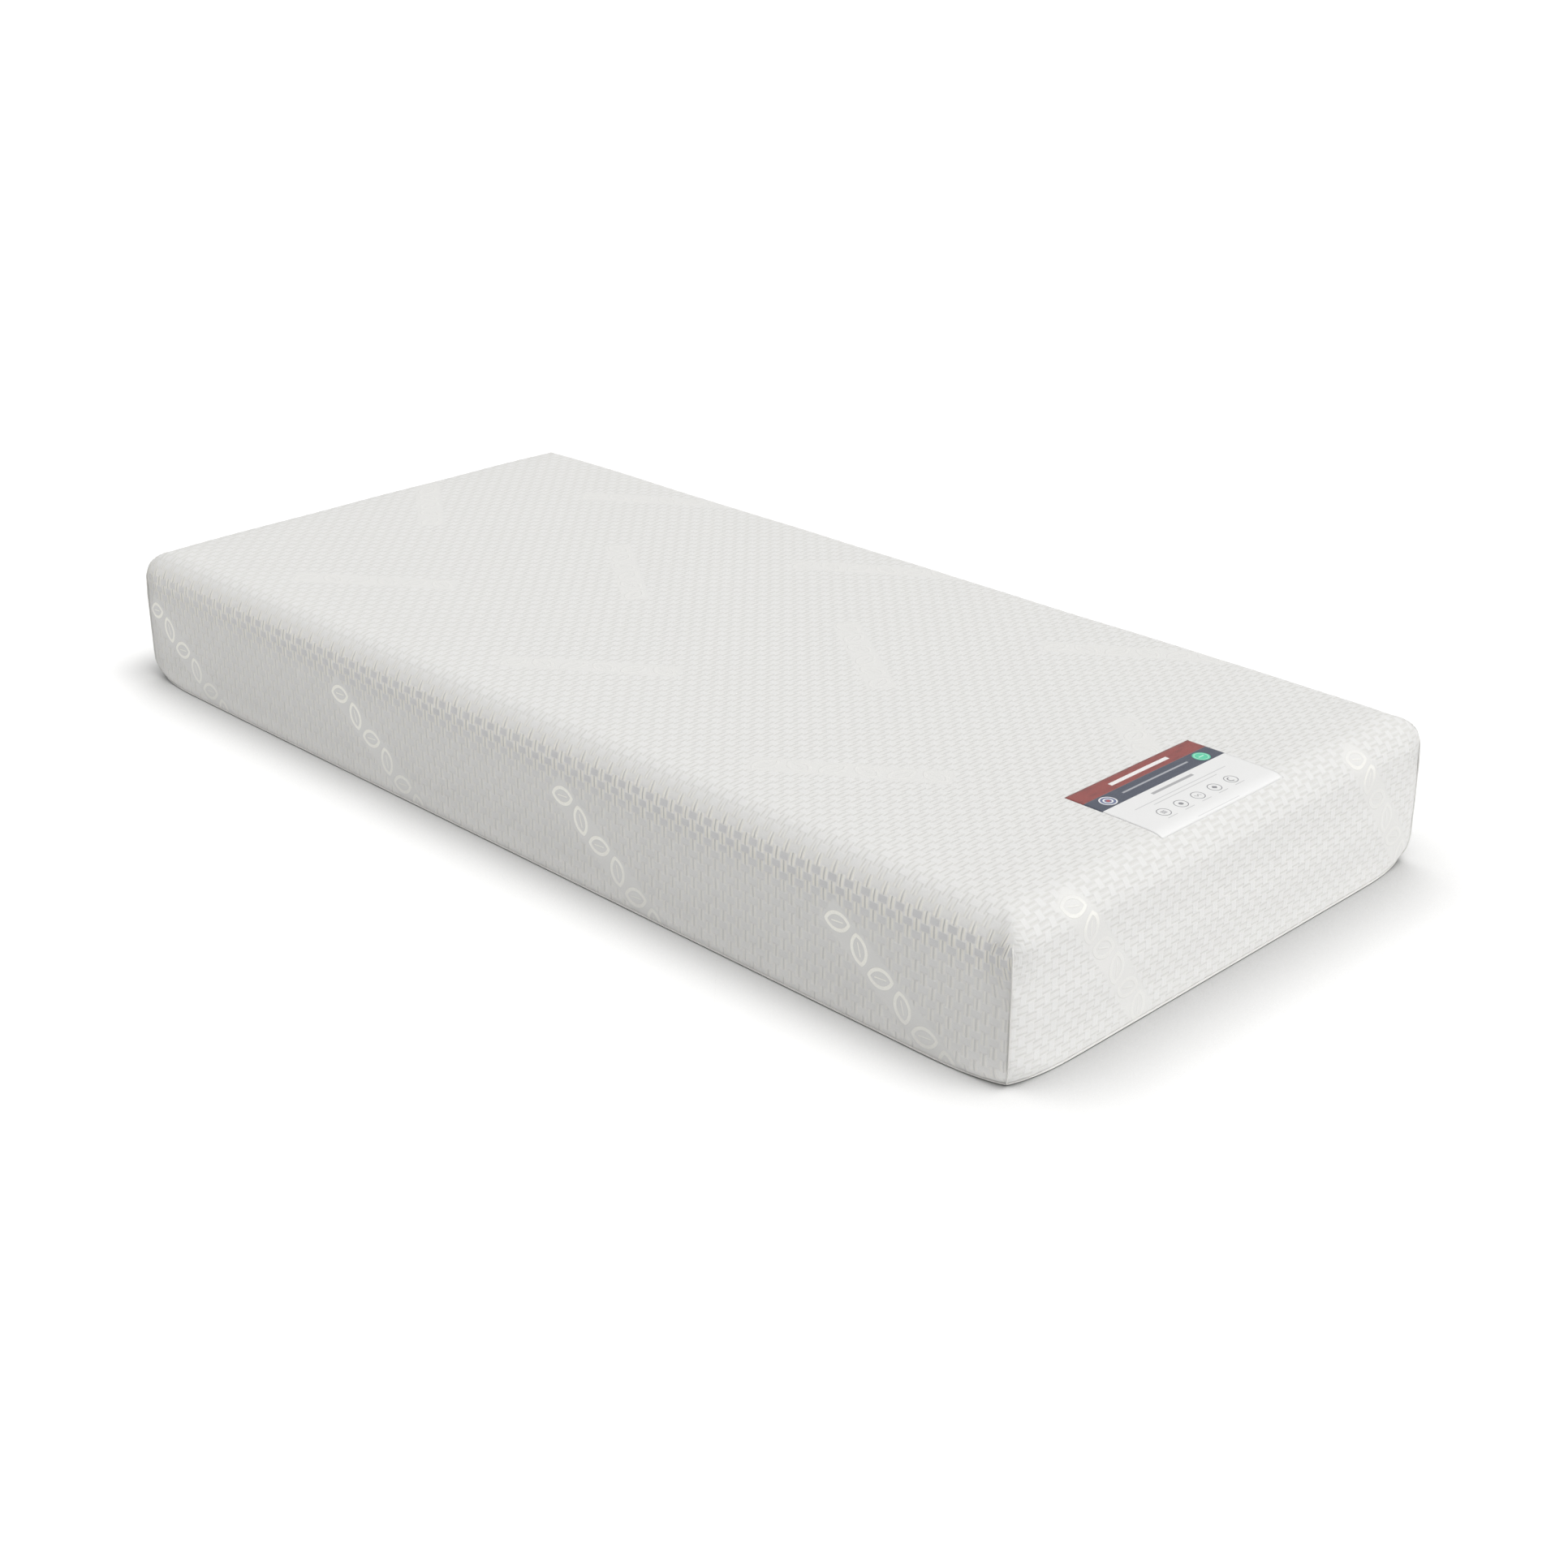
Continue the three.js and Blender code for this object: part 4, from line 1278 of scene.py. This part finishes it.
def slab_profile(low, high, top_radius):
    """A slab's side from its base up: how far it is drawn in, the height, and its corners' radius.

    At a slab that reaches down to the cover's rounder base corners, the corners are rounder too.
    """
    corner = INNER_CORNER_RADIUS
    edge = SLAB_EDGE_RADIUS
    profile = [
        (edge * (1 - math.sin(turn)), low + edge * (1 - math.cos(turn)), corner)
        for turn in np.linspace(0, math.pi / 2, 5)
    ]
    if low < BASE_CORNER_HEIGHT:
        profile += [(0.0, z, corner) for z in (10.0, 16.0, 24.0, 34.0)]
        profile = [(drawn, z, corner + 26 * (1 - smooth_step(z, 0, 30))) for drawn, z, _ in profile]
    for turn in np.linspace(math.pi / 2, 0, 13):
        drawn = top_radius * (1 - math.sin(turn))
        height = high - top_radius * (1 - math.cos(turn))
        profile.append((drawn, height, max(corner - 0.7 * drawn, 2.0)))
    return profile


def make_slab(name, node, slot, material, inset, low, high, top_radius, crown, mouth=0.0):
    """A foam slab: rounded corners and edges, with its top crowned and its base flat.

    mouth leaves that share of the base open along its middle, as in a sock.
    """
    half_x, half_y = HALF_WIDTH - inset - ZIP_SIDE_ROOM / 2, HALF_LENGTH - inset
    outline = rounded_outline(half_x, half_y, INNER_CORNER_RADIUS)
    spine = np.clip(outline, (-1, half_x - half_y), (1, half_y - half_x))
    rings = [
        at_height(rounded_outline(half_x - drawn, half_y - drawn, radius), height)
        for drawn, height, radius in slab_profile(low, high, top_radius)
    ]
    first, last = rings[0], rings[-1]
    for share in np.linspace(0, 1, 15)[1:]:
        ring_points = ring_towards(last, spine, share, high)
        ring_points[:, 2] += crown * crown_lift(*ring_points[:, :2].T) * smooth_step(share, 0, 0.3)
        rings.append(ring_points)
    for share in (0.5, 1.0):
        rings.insert(0, ring_towards(first, spine, share * (1 - mouth), low))
    points, faces = tube(rings[::-1], caps=(True, not mouth))
    slack = corner_give(*points.T, *CORNER_SLACK)
    points[:, 2] -= slack + corner_give(*points.T, *CORNER_DROP)
    points[:, :2] -= np.sign(points[:, :2]) * slack[:, None]
    points[:, 0] -= ZIP_SIDE_ROOM / 2
    return add_mesh(name, points, faces, material, node)


def make_foam(name, node, material, top_radius, crown):
    """A foam slab of the height that its CAD node has."""
    (_, _, low), (_, _, high) = box_of(node)
    foam = make_slab(name, node, name, material, FOAM_INSET, low, high, top_radius, crown)
    return foam


def make_liner():
    """The stockinette sock round the foam, open along the middle of the base."""
    heights = LINER_INSET, TOP - LINER_INSET
    edge = TOP_EDGE_RADIUS - LINER_INSET
    names = "liner_sock", "stockinette_liner", "stockinette"
    return make_slab(*names, STOCKINETTE, LINER_INSET, *heights, edge, 0.75, mouth=0.12)


foam_core = make_foam("support_foam", "support_foam_core", SUPPORT_FOAM, 2.0, 0.0)
foam_edge = TOP_EDGE_RADIUS - FOAM_INSET
foam_layer = make_foam("memory_foam", "memory_foam_layer", MEMORY_FOAM, foam_edge, 0.6)
liner = make_liner()

# ------------------------------------------------------------------ studio, in metres

CAMERA_AZIMUTH = math.radians(-45)
CAMERA_ELEVATION = math.radians(24.4)
CAMERA_DISTANCE = 3.346
CAMERA_TARGET = np.array([-0.160, -0.285, 0.1])
CAMERA_LENS = 53.7
FLOOR_HALF_SIZE = 60.0
CONTACT_REACH = 0.19
CONTACT_POWER = 0.68
CONTACT_LEAN = (-0.15, 0.5, 0.85)
KEY_DIRECTION = (0.105, -0.400, 0.910)  # towards the brightest part of the dome
KEY_TIGHTNESS = 20.0
KEY_STRENGTH = 9.69
FILL_STRENGTH = 0.434
BACKDROP = 1.2  # the dome reads as a plain white backdrop where it is seen directly


def make_camera():
    data = bpy.data.cameras.new("camera")
    data.sensor_width = 36
    data.lens = CAMERA_LENS
    data.clip_start, data.clip_end = 0.05, 200
    camera = link_object("camera", data)
    camera.rotation_euler = (math.pi / 2 - CAMERA_ELEVATION, 0, CAMERA_AZIMUTH)
    back = camera.rotation_euler.to_matrix().col[2]
    camera.location = CAMERA_TARGET + np.array(back) * CAMERA_DISTANCE
    bpy.context.scene.camera = camera


def make_floor():
    mesh = bpy.data.meshes.new("floor")
    signs = ((-1, -1, 0), (1, -1, 0), (1, 1, 0), (-1, 1, 0))
    mesh.from_pydata((np.array(signs) * FLOOR_HALF_SIZE).tolist(), [], [(0, 1, 2, 3)])
    surface = Surface("floor_paper", (0.95, 0.95, 0.95), 0.9)
    # A painted contact shadow on the floor round the mattress.
    surface.paint_contact_shadow(CONTACT_REACH, CONTACT_POWER, CONTACT_LEAN)
    mesh.materials.append(surface.finish())
    link_object("floor", mesh)


def make_dome():
    """A soft white dome, brighter overhead and towards the foot end."""
    world = bpy.data.worlds.new("dome")
    world.use_nodes = True
    tree = world.node_tree
    where = add_node(tree, "ShaderNodeTexCoord", {}).outputs["Generated"]
    inputs = {0: where, 1: KEY_DIRECTION}
    facing = add_node(tree, "ShaderNodeVectorMath", inputs, operation="DOT_PRODUCT")
    glow = Field(tree, facing.outputs["Value"]).highest(0.0).math("POWER", KEY_TIGHTNESS)
    strength = (glow * KEY_STRENGTH + FILL_STRENGTH).highest(seen_directly(tree) * BACKDROP)
    background = next(n for n in tree.nodes if n.type == "BACKGROUND")
    tree.links.new(strength.socket, background.inputs["Strength"])
    background.inputs["Color"].default_value = (1.0, 0.998, 0.99, 1)
    bpy.context.scene.world = world


make_camera()
make_floor()
make_dome()
bpy.context.scene.view_settings.view_transform = "Standard"
bpy.context.scene.view_settings.look = "None"
